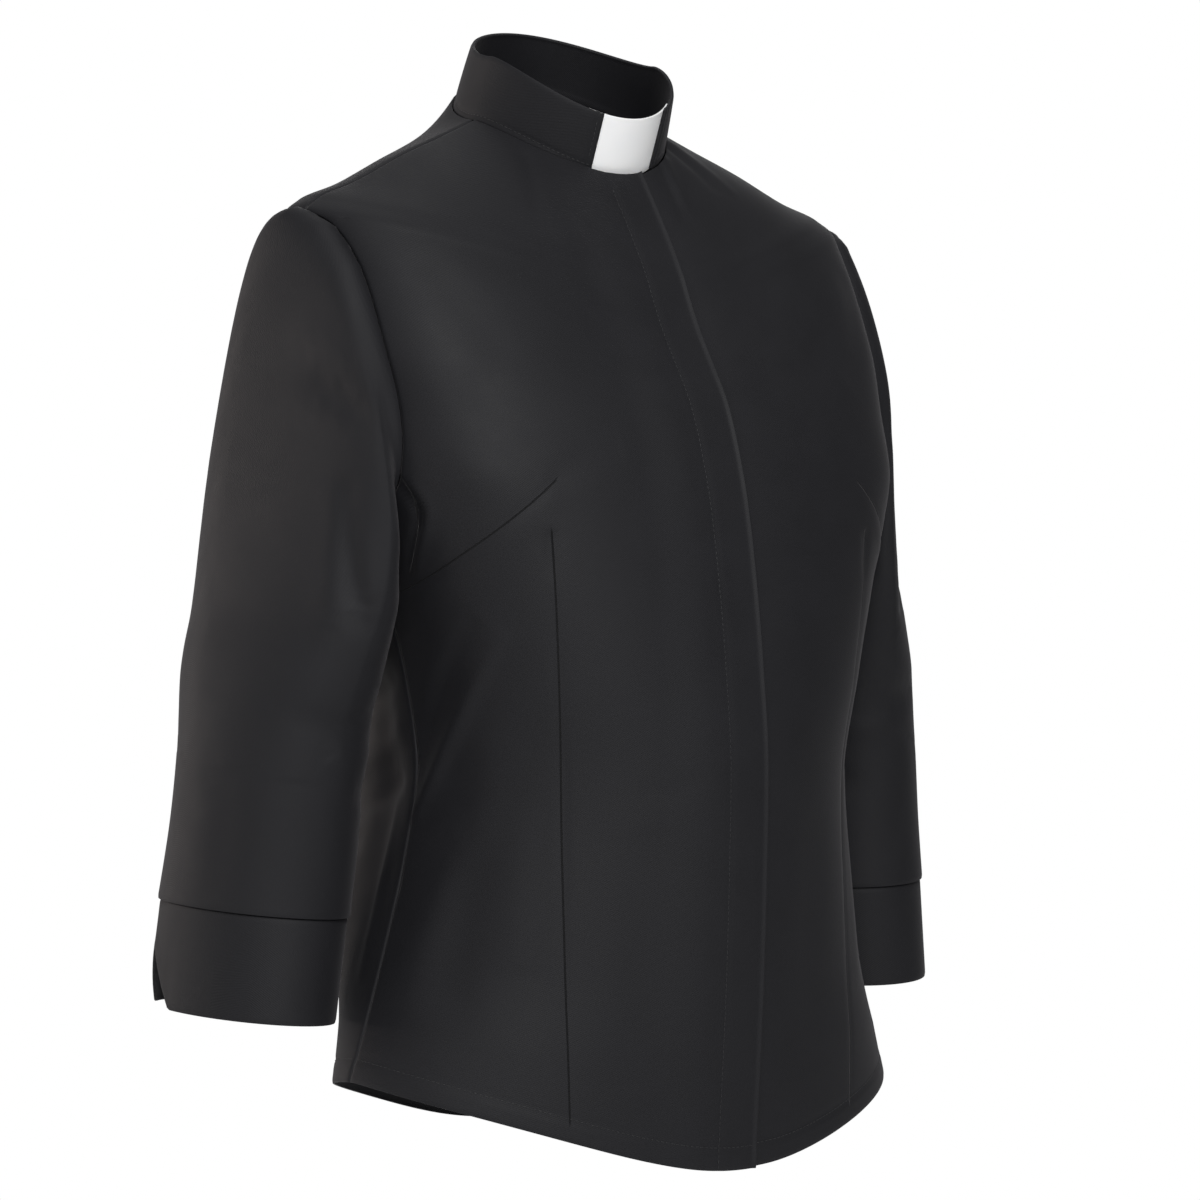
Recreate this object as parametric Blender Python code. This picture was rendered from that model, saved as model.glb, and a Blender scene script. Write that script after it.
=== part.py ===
"""A fitted clergy shirt with a standing collar, as it hangs on its wearer.

Metres, +Z up. The front faces -Y and the wearer's right side is at -X.
The origin is the middle of the neck opening, where the wearer carries the shirt.
"""

import math

import bpy
import numpy as np

# Cloth and clearances
WALL = 0.0015
COLLAR_WALL = 0.0020
TAB_WALL = 0.0010
SEAM_GAP = 0.0003
LAP_CLEARANCE = 0.0005
COLLAR_GAP = 0.0006
SLEEVE_LIFT = 0.0020

# The front closure: the right front laps over the left one
RIGHT_LAP = 0.015
LEFT_LAP = 0.012
LAP_FADE_FROM = 0.055
LAP_FADE_TO = 0.022

# Where the collar opens for its tab, in degrees from the centre front
OPENING_RIGHT = 18.5
OPENING_LEFT = 31.0
TAB_TUCK = 9.0

# Where the band and its tab start and end, as shares of the band's height
BAND_LOW = -0.0286
TAB_LOW = -0.06
TAB_HIGH = 0.985

# Steps of each grid
FRONT_COLUMNS = 14
BACK_COLUMNS = 24
TORSO_STEPS_PER_ROW = 2
SLEEVE_COLUMNS = 24
CAP_STEPS = 7
SLEEVE_STEPS_PER_ROW = 3
CUFF_STEPS = 3
COLLAR_COLUMNS = 44
COLLAR_STEPS = 3
TAB_COLUMNS = 10
SHARP_ANGLE = 40.0
ANGLE_STEP = 0.5
PLACE_STEP = 0.01

# A row for each section of the torso, from the hem up over the shoulders to the neck.
# z, y: height and depth at the centre front, the side and the centre back.
# half: half width. square: 2 is an ellipse, more is squarer.
TORSO_COLUMNS = (
    "name", "z_front", "z_side", "z_back", "half",
    "y_front", "y_side", "y_back", "square_front", "square_back",
)
TORSO_ROWS = (
    ("hem", -0.6210, -0.5685, -0.608, 0.1860, -0.1655, -0.046, 0.064, 2.1, 1.85),
    ("above_hem", -0.575, -0.5335, -0.565, 0.1740, -0.1690, -0.046, 0.066, 2.1, 2.15),
    ("hip", -0.515, -0.487, -0.510, 0.1605, -0.1735, -0.047, 0.070, 2.0, 2.6),
    ("low_waist", -0.450, -0.437, -0.450, 0.149, -0.1765, -0.049, 0.069, 2.0, 2.9),
    ("waist", -0.390, -0.388, -0.390, 0.1415, -0.1780, -0.050, 0.067, 2.1, 2.85),
    ("under_bust", -0.330, -0.338, -0.335, 0.146, -0.1730, -0.046, 0.069, 2.6, 2.35),
    ("low_bust", -0.280, -0.292, -0.290, 0.1560, -0.1665, -0.039, 0.074, 3.0, 2.3),
    ("bust", -0.240, -0.252, -0.250, 0.1705, -0.1595, -0.030, 0.080, 3.2, 2.4),
    ("low_armhole", -0.210, -0.220, -0.215, 0.1795, -0.1515, -0.025, 0.084, 3.4, 2.5),
    ("armhole", -0.180, -0.182, -0.175, 0.184, -0.1405, -0.018, 0.086, 3.2, 2.5),
    ("high_armhole", -0.155, -0.138, -0.130, 0.1895, -0.1255, -0.012, 0.0865, 3.0, 2.4),
    ("cap", -0.135, -0.093, -0.108, 0.189, -0.1130, -0.006, 0.086, 2.6, 2.2),
    ("shoulder", -0.117, -0.0670, -0.092, 0.191, -0.1040, -0.002, 0.0840, 2.1, 2.1),
    ("shoulder_turn", -0.106, -0.0575, -0.079, 0.181, -0.0990, -0.001, 0.0822, 2.0, 2.1),
    ("out_shoulder", -0.096, -0.0480, -0.064, 0.156, -0.0935, 0.000, 0.0800, 2.0, 2.0),
    ("mid_shoulder", -0.078, -0.031, -0.038, 0.121, -0.0825, 0.000, 0.0755, 2.0, 2.0),
    ("in_shoulder", -0.059, -0.0180, -0.010, 0.090, -0.0700, 0.000, 0.070, 2.0, 2.0),
    ("neck", -0.0420, -0.008, 0.0190, 0.067, -0.0585, 0.000, 0.064, 2.0, 2.0),
)
HEIGHT_POWER = 1.4

# The armhole is an oval on these sections: its underarm, its shoulder point, and how
# far it reaches to the front and the back at its middle, in degrees of a section.
UNDERARM_ROW = 7
SHOULDER_ROW = 12
SIDE_SEAM_ANGLE = 90.0
SHOULDER_SEAM_ANGLE = 88.0
ARMHOLE_FRONT = 18.5
ARMHOLE_BACK = 17.0
ARMHOLE_LEAN = 6.0
ARMHOLE_STEPS = 10

# Soft folds of the torso: side -1 is the wearer's right, rows are in the table above,
# angles in degrees, depth in metres (a ridge is above 0, a trough below).
FOLD_COLUMNS = ("side", "row_low", "angle_low", "row_high", "angle_high", "width", "depth")
FOLD_ROWS = (
    (-1, 1.2, 84, 4.6, 62, 6.0, 0.0028),
    (-1, 0.8, 72, 4.2, 72, 6.5, -0.0030),
    (-1, 2.0, 99, 5.6, 104, 6.0, -0.0040),
    (-1, 1.0, 112, 5.2, 120, 7.0, 0.0030),
    (1, 1.0, 82, 4.8, 66, 6.5, 0.0026),
    (1, 0.9, 70, 4.4, 74, 6.0, -0.0034),
    (1, 2.2, 101, 5.8, 106, 6.5, -0.0036),
    (1, 1.2, 115, 5.0, 122, 7.0, 0.0028),
)

# A row for each section of a sleeve, from under the arm to the cuff seam.
# out, in, front and back: how far the section reaches from its centre.
# square: how square its inner half is, where it lies along the body.
# lean: how far its outer half is swept back, per metre outwards.
SLEEVE_TABLE_COLUMNS = ("z", "x", "y", "out", "in", "front", "back", "square", "lean")
SLEEVE_ROWS = (
    (-0.295, 0.1892, 0.0054, 0.043, 0.0275, 0.092, 0.070, 2.8, 0.40),
    (-0.338, 0.1995, 0.0027, 0.0495, 0.037, 0.076, 0.067, 2.5, 0.20),
    (-0.380, 0.2052, 0.0034, 0.050, 0.045, 0.067, 0.064, 2.1, 0.05),
    (-0.425, 0.210, 0.006, 0.050, 0.049, 0.066, 0.064, 2.0, 0.0),
    (-0.470, 0.215, 0.009, 0.051, 0.050, 0.067, 0.065, 2.0, 0.0),
)
CUFF_ROWS = (
    (-0.4703, 0.215, 0.009, 0.0495, 0.0485, 0.0655, 0.0635, 2.0, 0.0),
    (-0.5315, 0.222, 0.010, 0.0475, 0.0475, 0.0650, 0.0630, 2.0, 0.0),
)

# How the sleeve's cap leaves the armhole: its slopes, and the lengths of its bend at the
# armhole and above the elbow, each with a share that counts at the top or underneath.
# end_back is how far the bend above the elbow is swept back at the top.
CAP_SHAPE = {
    "inwards": 0.20, "to_front_top": 0.10, "up": 0.58, "down_under": 0.45,
    "start": 0.004, "start_top": 0.037, "end": 0.007, "end_top": 0.097, "end_back": 0.015,
}
CUFF_TILT = 0.060
LEFT_SLEEVE_RAISE = 0.004
RAISE_LENGTH = 0.1
NOTCH_ANGLE = 330.0
NOTCH_HALF = 22.5
NOTCH_HEIGHT = 0.033

# The collar's top edge, as in a row of the torso's table
COLLAR_TOP = {
    "z_front": -0.0095, "z_side": 0.029, "z_back": 0.050, "half": 0.061,
    "y_front": -0.072, "y_side": -0.012, "y_back": 0.048,
    "square_front": 2.0, "square_back": 2.0,
}

CLOTH = {"color": (0.016, 0.016, 0.017, 1.0), "roughness": 0.78}
TAB_PLASTIC = {"color": (0.80, 0.81, 0.83, 1.0), "roughness": 0.25}


def as_rows(columns, rows):
    return [dict(zip(columns, row)) for row in rows]


TORSO = as_rows(TORSO_COLUMNS, TORSO_ROWS)
FOLDS = as_rows(FOLD_COLUMNS, FOLD_ROWS)
SLEEVE = as_rows(SLEEVE_TABLE_COLUMNS, SLEEVE_ROWS)
CUFF = as_rows(SLEEVE_TABLE_COLUMNS, CUFF_ROWS)


def clear_scene():
    for item in list(bpy.data.objects):
        bpy.data.objects.remove(item, do_unlink=True)


def smooth(t):
    t = min(max(t, 0.0), 1.0)
    return t * t * (3.0 - 2.0 * t)


def slope_between(before, after):
    """The slope at a row from the steps on its two sides, with no overshoot."""
    if before * after <= 0.0:
        return 0.0
    return 2.0 * before * after / (before + after)


def between_rows(table, place, key):
    """The value of a column at a place between rows, on a smooth curve through them."""
    last = len(table) - 1
    place = min(max(place, 0.0), float(last))
    low = min(int(place), last - 1)
    t = place - low
    before = table[max(low - 1, 0)][key]
    start = table[low][key]
    end = table[low + 1][key]
    after = table[min(low + 2, last)][key]
    slope_start = slope_between(start - before, end - start)
    slope_end = slope_between(end - start, after - end)
    return (
        start * (1 + 2 * t) * (1 - t) ** 2
        + slope_start * t * (1 - t) ** 2
        + end * t * t * (3 - 2 * t)
        + slope_end * t * t * (t - 1)
    )


def section_at(place):
    return {key: between_rows(TORSO, place, key) for key in TORSO_COLUMNS[1:]}


def ring_point(section, side, angle):
    """A point on a section: angle 0 is the centre front, 90 the side, 180 the centre back."""
    turn = math.radians(angle)
    front = math.cos(turn) >= 0
    depth = section["y_side"] - section["y_front"]
    square = section["square_front"]
    end_height = section["z_front"]
    if not front:
        depth = section["y_back"] - section["y_side"]
        square = section["square_back"]
        end_height = section["z_back"]
    along = abs(math.cos(turn))
    across = abs(math.sin(turn))
    reach = ((along / depth) ** square + (across / section["half"]) ** square) ** (-1.0 / square)
    height = section["z_side"] + (end_height - section["z_side"]) * along ** HEIGHT_POWER
    return np.array((
        side * reach * math.sin(turn),
        section["y_side"] - reach * math.cos(turn),
        height,
    ))


def fold_height(side, angle, place):
    height = 0.0
    for fold in FOLDS:
        if fold["side"] != side:
            continue
        t = (place - fold["row_low"]) / (fold["row_high"] - fold["row_low"])
        if not 0.0 < t < 1.0:
            continue
        middle = fold["angle_low"] + (fold["angle_high"] - fold["angle_low"]) * t
        strength = math.sin(math.pi * t)
        height += fold["depth"] * strength * math.exp(-((angle - middle) / fold["width"]) ** 2)
    return height


def torso_point(side, angle, place):
    section = section_at(place)
    point = ring_point(section, side, angle)
    outward = point - np.array((0.0, section["y_side"], point[2]))
    return point + outward / np.linalg.norm(outward) * fold_height(side, angle, place)


def surface_normal(surface, u, v, step_u, step_v):
    along_u = surface(u + step_u, v) - surface(u - step_u, v)
    along_v = surface(u, v + step_v) - surface(u, v - step_v)
    normal = np.cross(along_u, along_v)
    return normal / np.linalg.norm(normal)


def torso_normal(side, angle, place):
    last = len(TORSO) - 1.0
    place = min(max(place, 2 * PLACE_STEP), last - 2 * PLACE_STEP)
    surface = lambda a, p: torso_point(side, a, p)
    return surface_normal(surface, angle, place, ANGLE_STEP, PLACE_STEP) * side


def make_material(name, look):
    material = bpy.data.materials.new(name)
    material.use_nodes = True
    shader = material.node_tree.nodes["Principled BSDF"]
    shader.inputs["Base Color"].default_value = look["color"]
    shader.inputs["Roughness"].default_value = look["roughness"]
    shader.inputs["Metallic"].default_value = 0.0
    material.diffuse_color = look["color"]
    return material


def wall_faces(rows, columns, closed):
    """Faces of a wall whose outer grid comes first and whose inner grid follows it."""
    inner = rows * columns
    steps = columns if closed else columns - 1
    faces = []
    for r in range(rows - 1):
        for c in range(steps):
            a = r * columns + c
            b = r * columns + (c + 1) % columns
            faces.append((a, b, b + columns, a + columns))
            faces.append((inner + a, inner + a + columns, inner + b + columns, inner + b))
    top = (rows - 1) * columns
    for c in range(steps):
        d = (c + 1) % columns
        faces.append((c, inner + c, inner + d, d))
        faces.append((top + c, top + d, inner + top + d, inner + top + c))
    if closed:
        return faces
    for r in range(rows - 1):
        a = r * columns
        b = a + columns
        faces.append((a, b, inner + b, inner + a))
        c = a + columns - 1
        d = c + columns
        faces.append((c, inner + c, inner + d, d))
    return faces


def cloth_wall(name, outer, inner, look, collection, closed=False):
    """One piece: a wall between two grids of points, with its edges closed."""
    outer = np.array(outer)
    inner = np.array(inner)
    rows, columns = outer.shape[:2]
    faces = wall_faces(rows, columns, closed)
    points = np.concatenate([outer.reshape(-1, 3), inner.reshape(-1, 3)])
    around = outer[0, 1] - outer[0, 0]
    upward = outer[1, 0] - outer[0, 0]
    if np.dot(np.cross(around, upward), outer[0, 0] - inner[0, 0]) < 0:
        faces = [tuple(reversed(face)) for face in faces]
    mesh = bpy.data.meshes.new(name)
    mesh.from_pydata(points.tolist(), [], faces)
    mesh.validate()
    mesh.shade_smooth()
    mesh.set_sharp_from_angle(angle=math.radians(SHARP_ANGLE))
    piece = bpy.data.objects.new(name, mesh)
    piece.data.materials.append(make_material(name + "_cloth", look))
    collection.objects.link(piece)
    return piece


def armhole_places(count):
    """Places from the underarm to the shoulder point, closer together near both."""
    middle = (UNDERARM_ROW + SHOULDER_ROW) / 2.0
    half = (SHOULDER_ROW - UNDERARM_ROW) / 2.0
    return [middle - half * math.cos(math.pi * i / count) for i in range(count + 1)]


def torso_places():
    step = 1.0 / TORSO_STEPS_PER_ROW
    below = [i * step for i in range(UNDERARM_ROW * TORSO_STEPS_PER_ROW)]
    above_count = (len(TORSO) - 1 - SHOULDER_ROW) * TORSO_STEPS_PER_ROW
    above = [SHOULDER_ROW + (i + 1) * step for i in range(above_count)]
    return below + armhole_places(ARMHOLE_STEPS) + above


def panel_edge(place, to_front):
    """The angle at which the front or the back panel ends: side seam, armhole, shoulder seam."""
    if place <= UNDERARM_ROW:
        return SIDE_SEAM_ANGLE
    if place >= SHOULDER_ROW:
        return SHOULDER_SEAM_ANGLE
    middle = (UNDERARM_ROW + SHOULDER_ROW) / 2.0
    u = (place - middle) / (SHOULDER_ROW - middle)
    line = SIDE_SEAM_ANGLE + (SHOULDER_SEAM_ANGLE - SIDE_SEAM_ANGLE) * (u + 1.0) / 2.0
    arch = math.sqrt(max(0.0, 1.0 - u * u))
    if to_front:
        return line - (ARMHOLE_FRONT - ARMHOLE_LEAN * u) * arch
    return line + ARMHOLE_BACK * arch


def lap_angle(place, distance):
    """The angle past the centre front at which a point lies a distance from the centre."""
    section = section_at(place)
    depth = section["y_side"] - section["y_front"]
    return math.degrees(math.asin(distance / depth))


def gap_angle(place):
    return math.degrees(SEAM_GAP / 2.0 / section_at(place)["half"])


def front_panel(name, side, lap, lifted, collection):
    outer = []
    inner = []
    for place in torso_places():
        start = lap_angle(place, lap)
        end = panel_edge(place, True) - gap_angle(place)
        outer_row = []
        inner_row = []
        for c in range(FRONT_COLUMNS + 1):
            angle = -start + (end + start) * c / FRONT_COLUMNS
            point = torso_point(side, angle, place)
            normal = torso_normal(side, angle, place)
            if lifted:
                from_centre = side * point[0]
                fade = (LAP_FADE_FROM - from_centre) / (LAP_FADE_FROM - LAP_FADE_TO)
                point = point + normal * smooth(fade) * (WALL + LAP_CLEARANCE)
            outer_row.append(point)
            inner_row.append(point - normal * WALL)
        outer.append(outer_row)
        inner.append(inner_row)
    return cloth_wall(name, outer, inner, CLOTH, collection)


def back_panel(name, collection):
    outer = []
    inner = []
    for place in torso_places():
        edge = panel_edge(place, False) + gap_angle(place)
        outer_row = []
        inner_row = []
        for c in range(BACK_COLUMNS + 1):
            across = 2.0 * c / BACK_COLUMNS - 1.0
            side = -1 if across < 0 else 1
            angle = 180.0 - (180.0 - edge) * abs(across)
            point = torso_point(side, angle, place)
            outer_row.append(point)
            inner_row.append(point - torso_normal(side, angle, place) * WALL)
        outer.append(outer_row)
        inner.append(inner_row)
    return cloth_wall(name, outer, inner, CLOTH, collection)


def tube_point(row, side, turn):
    """A point on a sleeve's section: turn 0 is outside, 90 front, 180 inside, 270 back."""
    a = math.radians(turn)
    across = row["out"] if math.cos(a) >= 0 else row["in"]
    depth = row["front"] if math.sin(a) >= 0 else row["back"]
    square = row["square"] if math.cos(a) < 0 else 2.0
    reach = (abs(math.cos(a)) ** square + abs(math.sin(a)) ** square) ** (-1.0 / square)
    outwards = across * reach * math.cos(a)
    return np.array((
        side * (row["x"] + outwards),
        row["y"] - depth * reach * math.sin(a) + row["lean"] * max(outwards, 0.0),
        row["z"],
    ))


def armhole_edge(side):
    """The armhole's seam, evenly spaced: shoulder, front, underarm, back; points and normals."""
    rising = armhole_places(ARMHOLE_STEPS)
    half_count = SLEEVE_COLUMNS // 2
    loop = []
    for to_front, places in ((True, rising[::-1]), (False, rising)):
        track = []
        for place in places:
            angle = panel_edge(place, to_front)
            point = torso_point(side, angle, place)
            track.append(np.concatenate([point, torso_normal(side, angle, place)]))
        track = np.array(track)
        lengths = np.linalg.norm(np.diff(track[:, :3], axis=0), axis=1)
        along = np.concatenate([[0.0], np.cumsum(lengths)])
        at = np.linspace(0.0, along[-1], half_count + 1)[:-1]
        loop.append(np.stack([np.interp(at, along, track[:, k]) for k in range(6)], axis=1))
    return np.concatenate(loop)


def sleeve_grid(side):
    """The sleeve's outer points: from the armhole over the cap, then down the arm."""
    seam = armhole_edge(side)
    grid = []
    for step in range(CAP_STEPS + 1):
        t = step / CAP_STEPS
        row = []
        for c in range(SLEEVE_COLUMNS):
            turn = 360.0 * c / SLEEVE_COLUMNS
            top = (1.0 + math.cos(math.radians(turn))) / 2.0
            start = seam[c, :3] + seam[c, 3:] * SLEEVE_LIFT
            end = tube_point(SLEEVE[0], side, turn)
            to_back = CAP_SHAPE["inwards"] * math.sin(math.radians(turn))
            to_back -= CAP_SHAPE["to_front_top"] * top
            up = CAP_SHAPE["up"] - CAP_SHAPE["down_under"] * (1 - top)
            leave = np.array((side, to_back, up))
            leave = leave / np.linalg.norm(leave)
            reach_start = CAP_SHAPE["start"] + CAP_SHAPE["start_top"] * top
            reach_end = CAP_SHAPE["end"] + CAP_SHAPE["end_top"] * top
            first = start + leave * reach_start
            rising = end - tube_point(SLEEVE[1], side, turn)
            second = end + rising / np.linalg.norm(rising) * reach_end
            second[1] += CAP_SHAPE["end_back"] * top
            row.append(
                (1 - t) ** 3 * start
                + 3 * (1 - t) ** 2 * t * first
                + 3 * (1 - t) * t * t * second
                + t ** 3 * end
            )
        grid.append(row)
    count = (len(SLEEVE) - 1) * SLEEVE_STEPS_PER_ROW
    for step in range(1, count + 1):
        place = step / SLEEVE_STEPS_PER_ROW
        section = {key: between_rows(SLEEVE, place, key) for key in SLEEVE_TABLE_COLUMNS}
        turns = [360.0 * c / SLEEVE_COLUMNS for c in range(SLEEVE_COLUMNS)]
        grid.append([tube_point(section, side, turn) for turn in turns])
    grid = np.array(grid)
    tilt_end(grid, side, SLEEVE[0]["z"], SLEEVE[-1]["z"])
    return grid


def tilt_end(grid, side, top, bottom):
    """Lowers the front and inner part of the sections towards the cuff seam."""
    share = np.clip((top - grid[..., 2]) / (top - bottom), 0.0, 1.0)
    grid[..., 2] += share * CUFF_TILT * (side * grid[..., 0] - SLEEVE[-1]["x"] + grid[..., 1])


def grid_normals(grid):
    """Unit normals of a grid that is closed around, pointing away from its middle."""
    around = np.roll(grid, -1, axis=1) - np.roll(grid, 1, axis=1)
    down = np.gradient(grid, axis=0)
    normals = np.cross(around, down)
    normals = normals / np.linalg.norm(normals, axis=2, keepdims=True)
    middle = grid.mean(axis=1, keepdims=True)
    facing = np.sum(normals * (grid - middle), axis=2)
    return normals if facing.sum() > 0 else -normals


def raise_arm(grid, side):
    """The left arm hangs a little higher than the right one."""
    if side > 0:
        share = np.clip((SLEEVE[0]["z"] - grid[..., 2]) / RAISE_LENGTH, 0.0, 1.0)
        grid[..., 2] += LEFT_SLEEVE_RAISE * share
    return grid


def sleeve(name, side, collection):
    outer = raise_arm(sleeve_grid(side), side)
    seam = armhole_edge(side)
    normals = grid_normals(outer)
    normals[0] = seam[:, 3:]
    normals[1] = normals[1] + seam[:, 3:]
    normals[1] = normals[1] / np.linalg.norm(normals[1], axis=1, keepdims=True)
    return cloth_wall(name, outer, outer - normals * WALL, CLOTH, collection, closed=True)


def cuff(name, side, collection):
    grid = []
    top_row, bottom_row = CUFF
    for step in range(CUFF_STEPS + 1):
        t = step / CUFF_STEPS
        section = {key: top_row[key] + (bottom_row[key] - top_row[key]) * t for key in top_row}
        row = []
        for c in range(SLEEVE_COLUMNS):
            turn = 360.0 * c / SLEEVE_COLUMNS
            point = tube_point(section, side, turn)
            point[2] += CUFF_TILT * (side * point[0] - SLEEVE[-1]["x"] + point[1])
            notch = max(0.0, 1.0 - abs(turn - NOTCH_ANGLE) / NOTCH_HALF)
            point[2] += NOTCH_HEIGHT * notch * t
            row.append(point)
        grid.append(row)
    outer = raise_arm(np.array(grid), side)
    normals = grid_normals(outer)
    return cloth_wall(name, outer, outer - normals * WALL, CLOTH, collection, closed=True)


def signed_ring(section, angle):
    """A point on a section by one angle: below 0 is the wearer's right, above 0 the left."""
    side = -1 if angle < 0 else 1
    return ring_point(section, side, abs(angle))


def collar_base(angle):
    """Where the band's outer face meets the body's neckline."""
    side = -1 if angle < 0 else 1
    neck = len(TORSO) - 1.0
    point = torso_point(side, abs(angle), neck)
    normal = torso_normal(side, abs(angle), neck)
    inward = np.array((-point[0], -point[1], 0.0))
    inward = inward / np.linalg.norm(inward)
    inset = max(0.0, -np.dot(normal, inward)) * WALL + COLLAR_GAP
    return point + inward * inset


def band_grid(angles, steps, inset, low, high):
    """Points of a band that follows the collar, inset from its outer face."""
    grid = []
    for step in range(steps + 1):
        t = low + (high - low) * step / steps
        row = []
        for angle in angles:
            base = collar_base(angle)
            top = signed_ring(COLLAR_TOP, angle)
            rise = top - base
            point = base + rise * t
            middle = np.array((0.0, COLLAR_TOP["y_side"] * t, point[2]))
            inward = middle - point
            across = inward - rise * np.dot(inward, rise) / np.dot(rise, rise)
            row.append(point + across / np.linalg.norm(across) * inset)
        grid.append(row)
    return np.array(grid)


def collar(collection):
    start = OPENING_LEFT
    end = 360.0 - OPENING_RIGHT
    angles = []
    for c in range(COLLAR_COLUMNS + 1):
        angle = start + (end - start) * c / COLLAR_COLUMNS
        angles.append(angle if angle <= 180.0 else angle - 360.0)
    outer = band_grid(angles, COLLAR_STEPS, 0.0, BAND_LOW, 1.0)
    inner = band_grid(angles, COLLAR_STEPS, COLLAR_WALL, BAND_LOW, 1.0)
    return cloth_wall("collar_stand", outer, inner, CLOTH, collection)


def collar_tab(collection):
    start = -OPENING_RIGHT - TAB_TUCK
    end = OPENING_LEFT + TAB_TUCK
    angles = [start + (end - start) * c / TAB_COLUMNS for c in range(TAB_COLUMNS + 1)]
    face = COLLAR_WALL + SEAM_GAP
    outer = band_grid(angles, COLLAR_STEPS, face, TAB_LOW, TAB_HIGH)
    inner = band_grid(angles, COLLAR_STEPS, face + TAB_WALL, TAB_LOW, TAB_HIGH)
    return cloth_wall("collar_tab", outer, inner, TAB_PLASTIC, collection)


def main():
    clear_scene()
    collection = bpy.data.collections.new("clergy_shirt")
    bpy.context.scene.collection.children.link(collection)
    front_panel("right_front", -1, RIGHT_LAP, True, collection)
    front_panel("left_front", 1, LEFT_LAP, False, collection)
    back_panel("back", collection)
    for name, side in (("right", -1), ("left", 1)):
        sleeve(name + "_sleeve", side, collection)
        cuff(name + "_cuff", side, collection)
    collar(collection)
    collar_tab(collection)


main()
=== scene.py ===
import math

import bpy
import numpy as np
from mathutils import Matrix, Vector


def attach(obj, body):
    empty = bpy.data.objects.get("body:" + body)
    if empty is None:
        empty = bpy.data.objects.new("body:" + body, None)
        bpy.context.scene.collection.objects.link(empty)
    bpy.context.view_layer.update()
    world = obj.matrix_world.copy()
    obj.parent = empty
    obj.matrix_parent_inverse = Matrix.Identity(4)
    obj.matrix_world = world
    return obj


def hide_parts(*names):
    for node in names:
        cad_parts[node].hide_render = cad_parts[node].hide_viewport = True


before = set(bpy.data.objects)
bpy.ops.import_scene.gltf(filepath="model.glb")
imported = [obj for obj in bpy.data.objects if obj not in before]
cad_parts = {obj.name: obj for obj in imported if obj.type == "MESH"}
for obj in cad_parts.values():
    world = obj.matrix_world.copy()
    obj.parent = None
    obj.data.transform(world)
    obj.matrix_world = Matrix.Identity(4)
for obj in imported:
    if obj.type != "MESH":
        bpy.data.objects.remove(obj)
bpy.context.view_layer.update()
bpy.ops.object.select_all(action="DESELECT")  # the loaded nodes come in selected
print("frame loaded")

# Metres, +Z up, the front faces -Y. Side -1 is the wearer's right, 1 the left.
# On the body an angle is 0 at the centre front, 90 at the side and 180 at the centre back,
# and a place runs up the rows of bodyRows, from the hem at 0 to the neck at 17.

bodyColumns = (
    "zFront", "zSide", "zBack", "half", "yFront", "ySide", "yBack", "squareFront", "squareBack",
)
bodyRows = (
    (-0.6210, -0.5685, -0.608, 0.1860, -0.1655, -0.046, 0.064, 2.1, 1.85),  # hem
    (-0.575, -0.5335, -0.565, 0.1740, -0.1690, -0.046, 0.066, 2.1, 2.15),
    (-0.515, -0.487, -0.510, 0.1605, -0.1735, -0.047, 0.070, 2.0, 2.6),  # hip
    (-0.450, -0.437, -0.450, 0.149, -0.1765, -0.049, 0.069, 2.0, 2.9),
    (-0.390, -0.388, -0.390, 0.1415, -0.1780, -0.050, 0.067, 2.1, 2.85),  # waist
    (-0.330, -0.338, -0.335, 0.146, -0.1730, -0.046, 0.069, 2.6, 2.35),
    (-0.280, -0.292, -0.290, 0.1560, -0.1665, -0.039, 0.074, 3.0, 2.3),
    (-0.240, -0.252, -0.250, 0.1705, -0.1595, -0.030, 0.080, 3.2, 2.4),  # bust, underarm
    (-0.210, -0.220, -0.215, 0.1795, -0.1515, -0.025, 0.084, 3.4, 2.5),
    (-0.180, -0.182, -0.175, 0.184, -0.1405, -0.018, 0.086, 3.2, 2.5),
    (-0.155, -0.138, -0.130, 0.1895, -0.1255, -0.012, 0.0865, 3.0, 2.4),
    (-0.135, -0.093, -0.108, 0.189, -0.1130, -0.006, 0.086, 2.6, 2.2),
    (-0.117, -0.0670, -0.092, 0.191, -0.1040, -0.002, 0.0840, 2.1, 2.1),  # shoulder point
    (-0.106, -0.0575, -0.079, 0.181, -0.0990, -0.001, 0.0822, 2.0, 2.1),
    (-0.096, -0.0480, -0.064, 0.156, -0.0935, 0.000, 0.0800, 2.0, 2.0),
    (-0.078, -0.031, -0.038, 0.121, -0.0825, 0.000, 0.0755, 2.0, 2.0),
    (-0.059, -0.0180, -0.010, 0.090, -0.0700, 0.000, 0.070, 2.0, 2.0),
    (-0.0420, -0.008, 0.0190, 0.067, -0.0585, 0.000, 0.064, 2.0, 2.0),  # neck
)
underarmPlace = 7.0
shoulderPlace = 12.0
neckPlace = 17.0
armholeMiddle = (underarmPlace + shoulderPlace) / 2.0
armholeHalf = (shoulderPlace - underarmPlace) / 2.0
heightPower = 1.4

armhole = {
    "underarmAngle": 90.0,
    "shoulderAngle": 88.0,
    "reachFront": 18.5,
    "reachBack": 17.0,
    "lean": 6.0,
}

# Large folds, as in the part's solids: side, place and angle at the low and the high end,
# width in degrees, depth in metres
largeFolds = (
    (-1, 1.2, 84, 4.6, 62, 6.0, 0.0028),
    (-1, 0.8, 72, 4.2, 72, 6.5, -0.0030),
    (-1, 2.0, 99, 5.6, 104, 6.0, -0.0040),
    (-1, 1.0, 112, 5.2, 120, 7.0, 0.0030),
    (1, 1.0, 82, 4.8, 66, 6.5, 0.0026),
    (1, 0.9, 70, 4.4, 74, 6.0, -0.0034),
    (1, 2.2, 101, 5.8, 106, 6.5, -0.0036),
    (1, 1.2, 115, 5.0, 122, 7.0, 0.0028),
)

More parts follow.
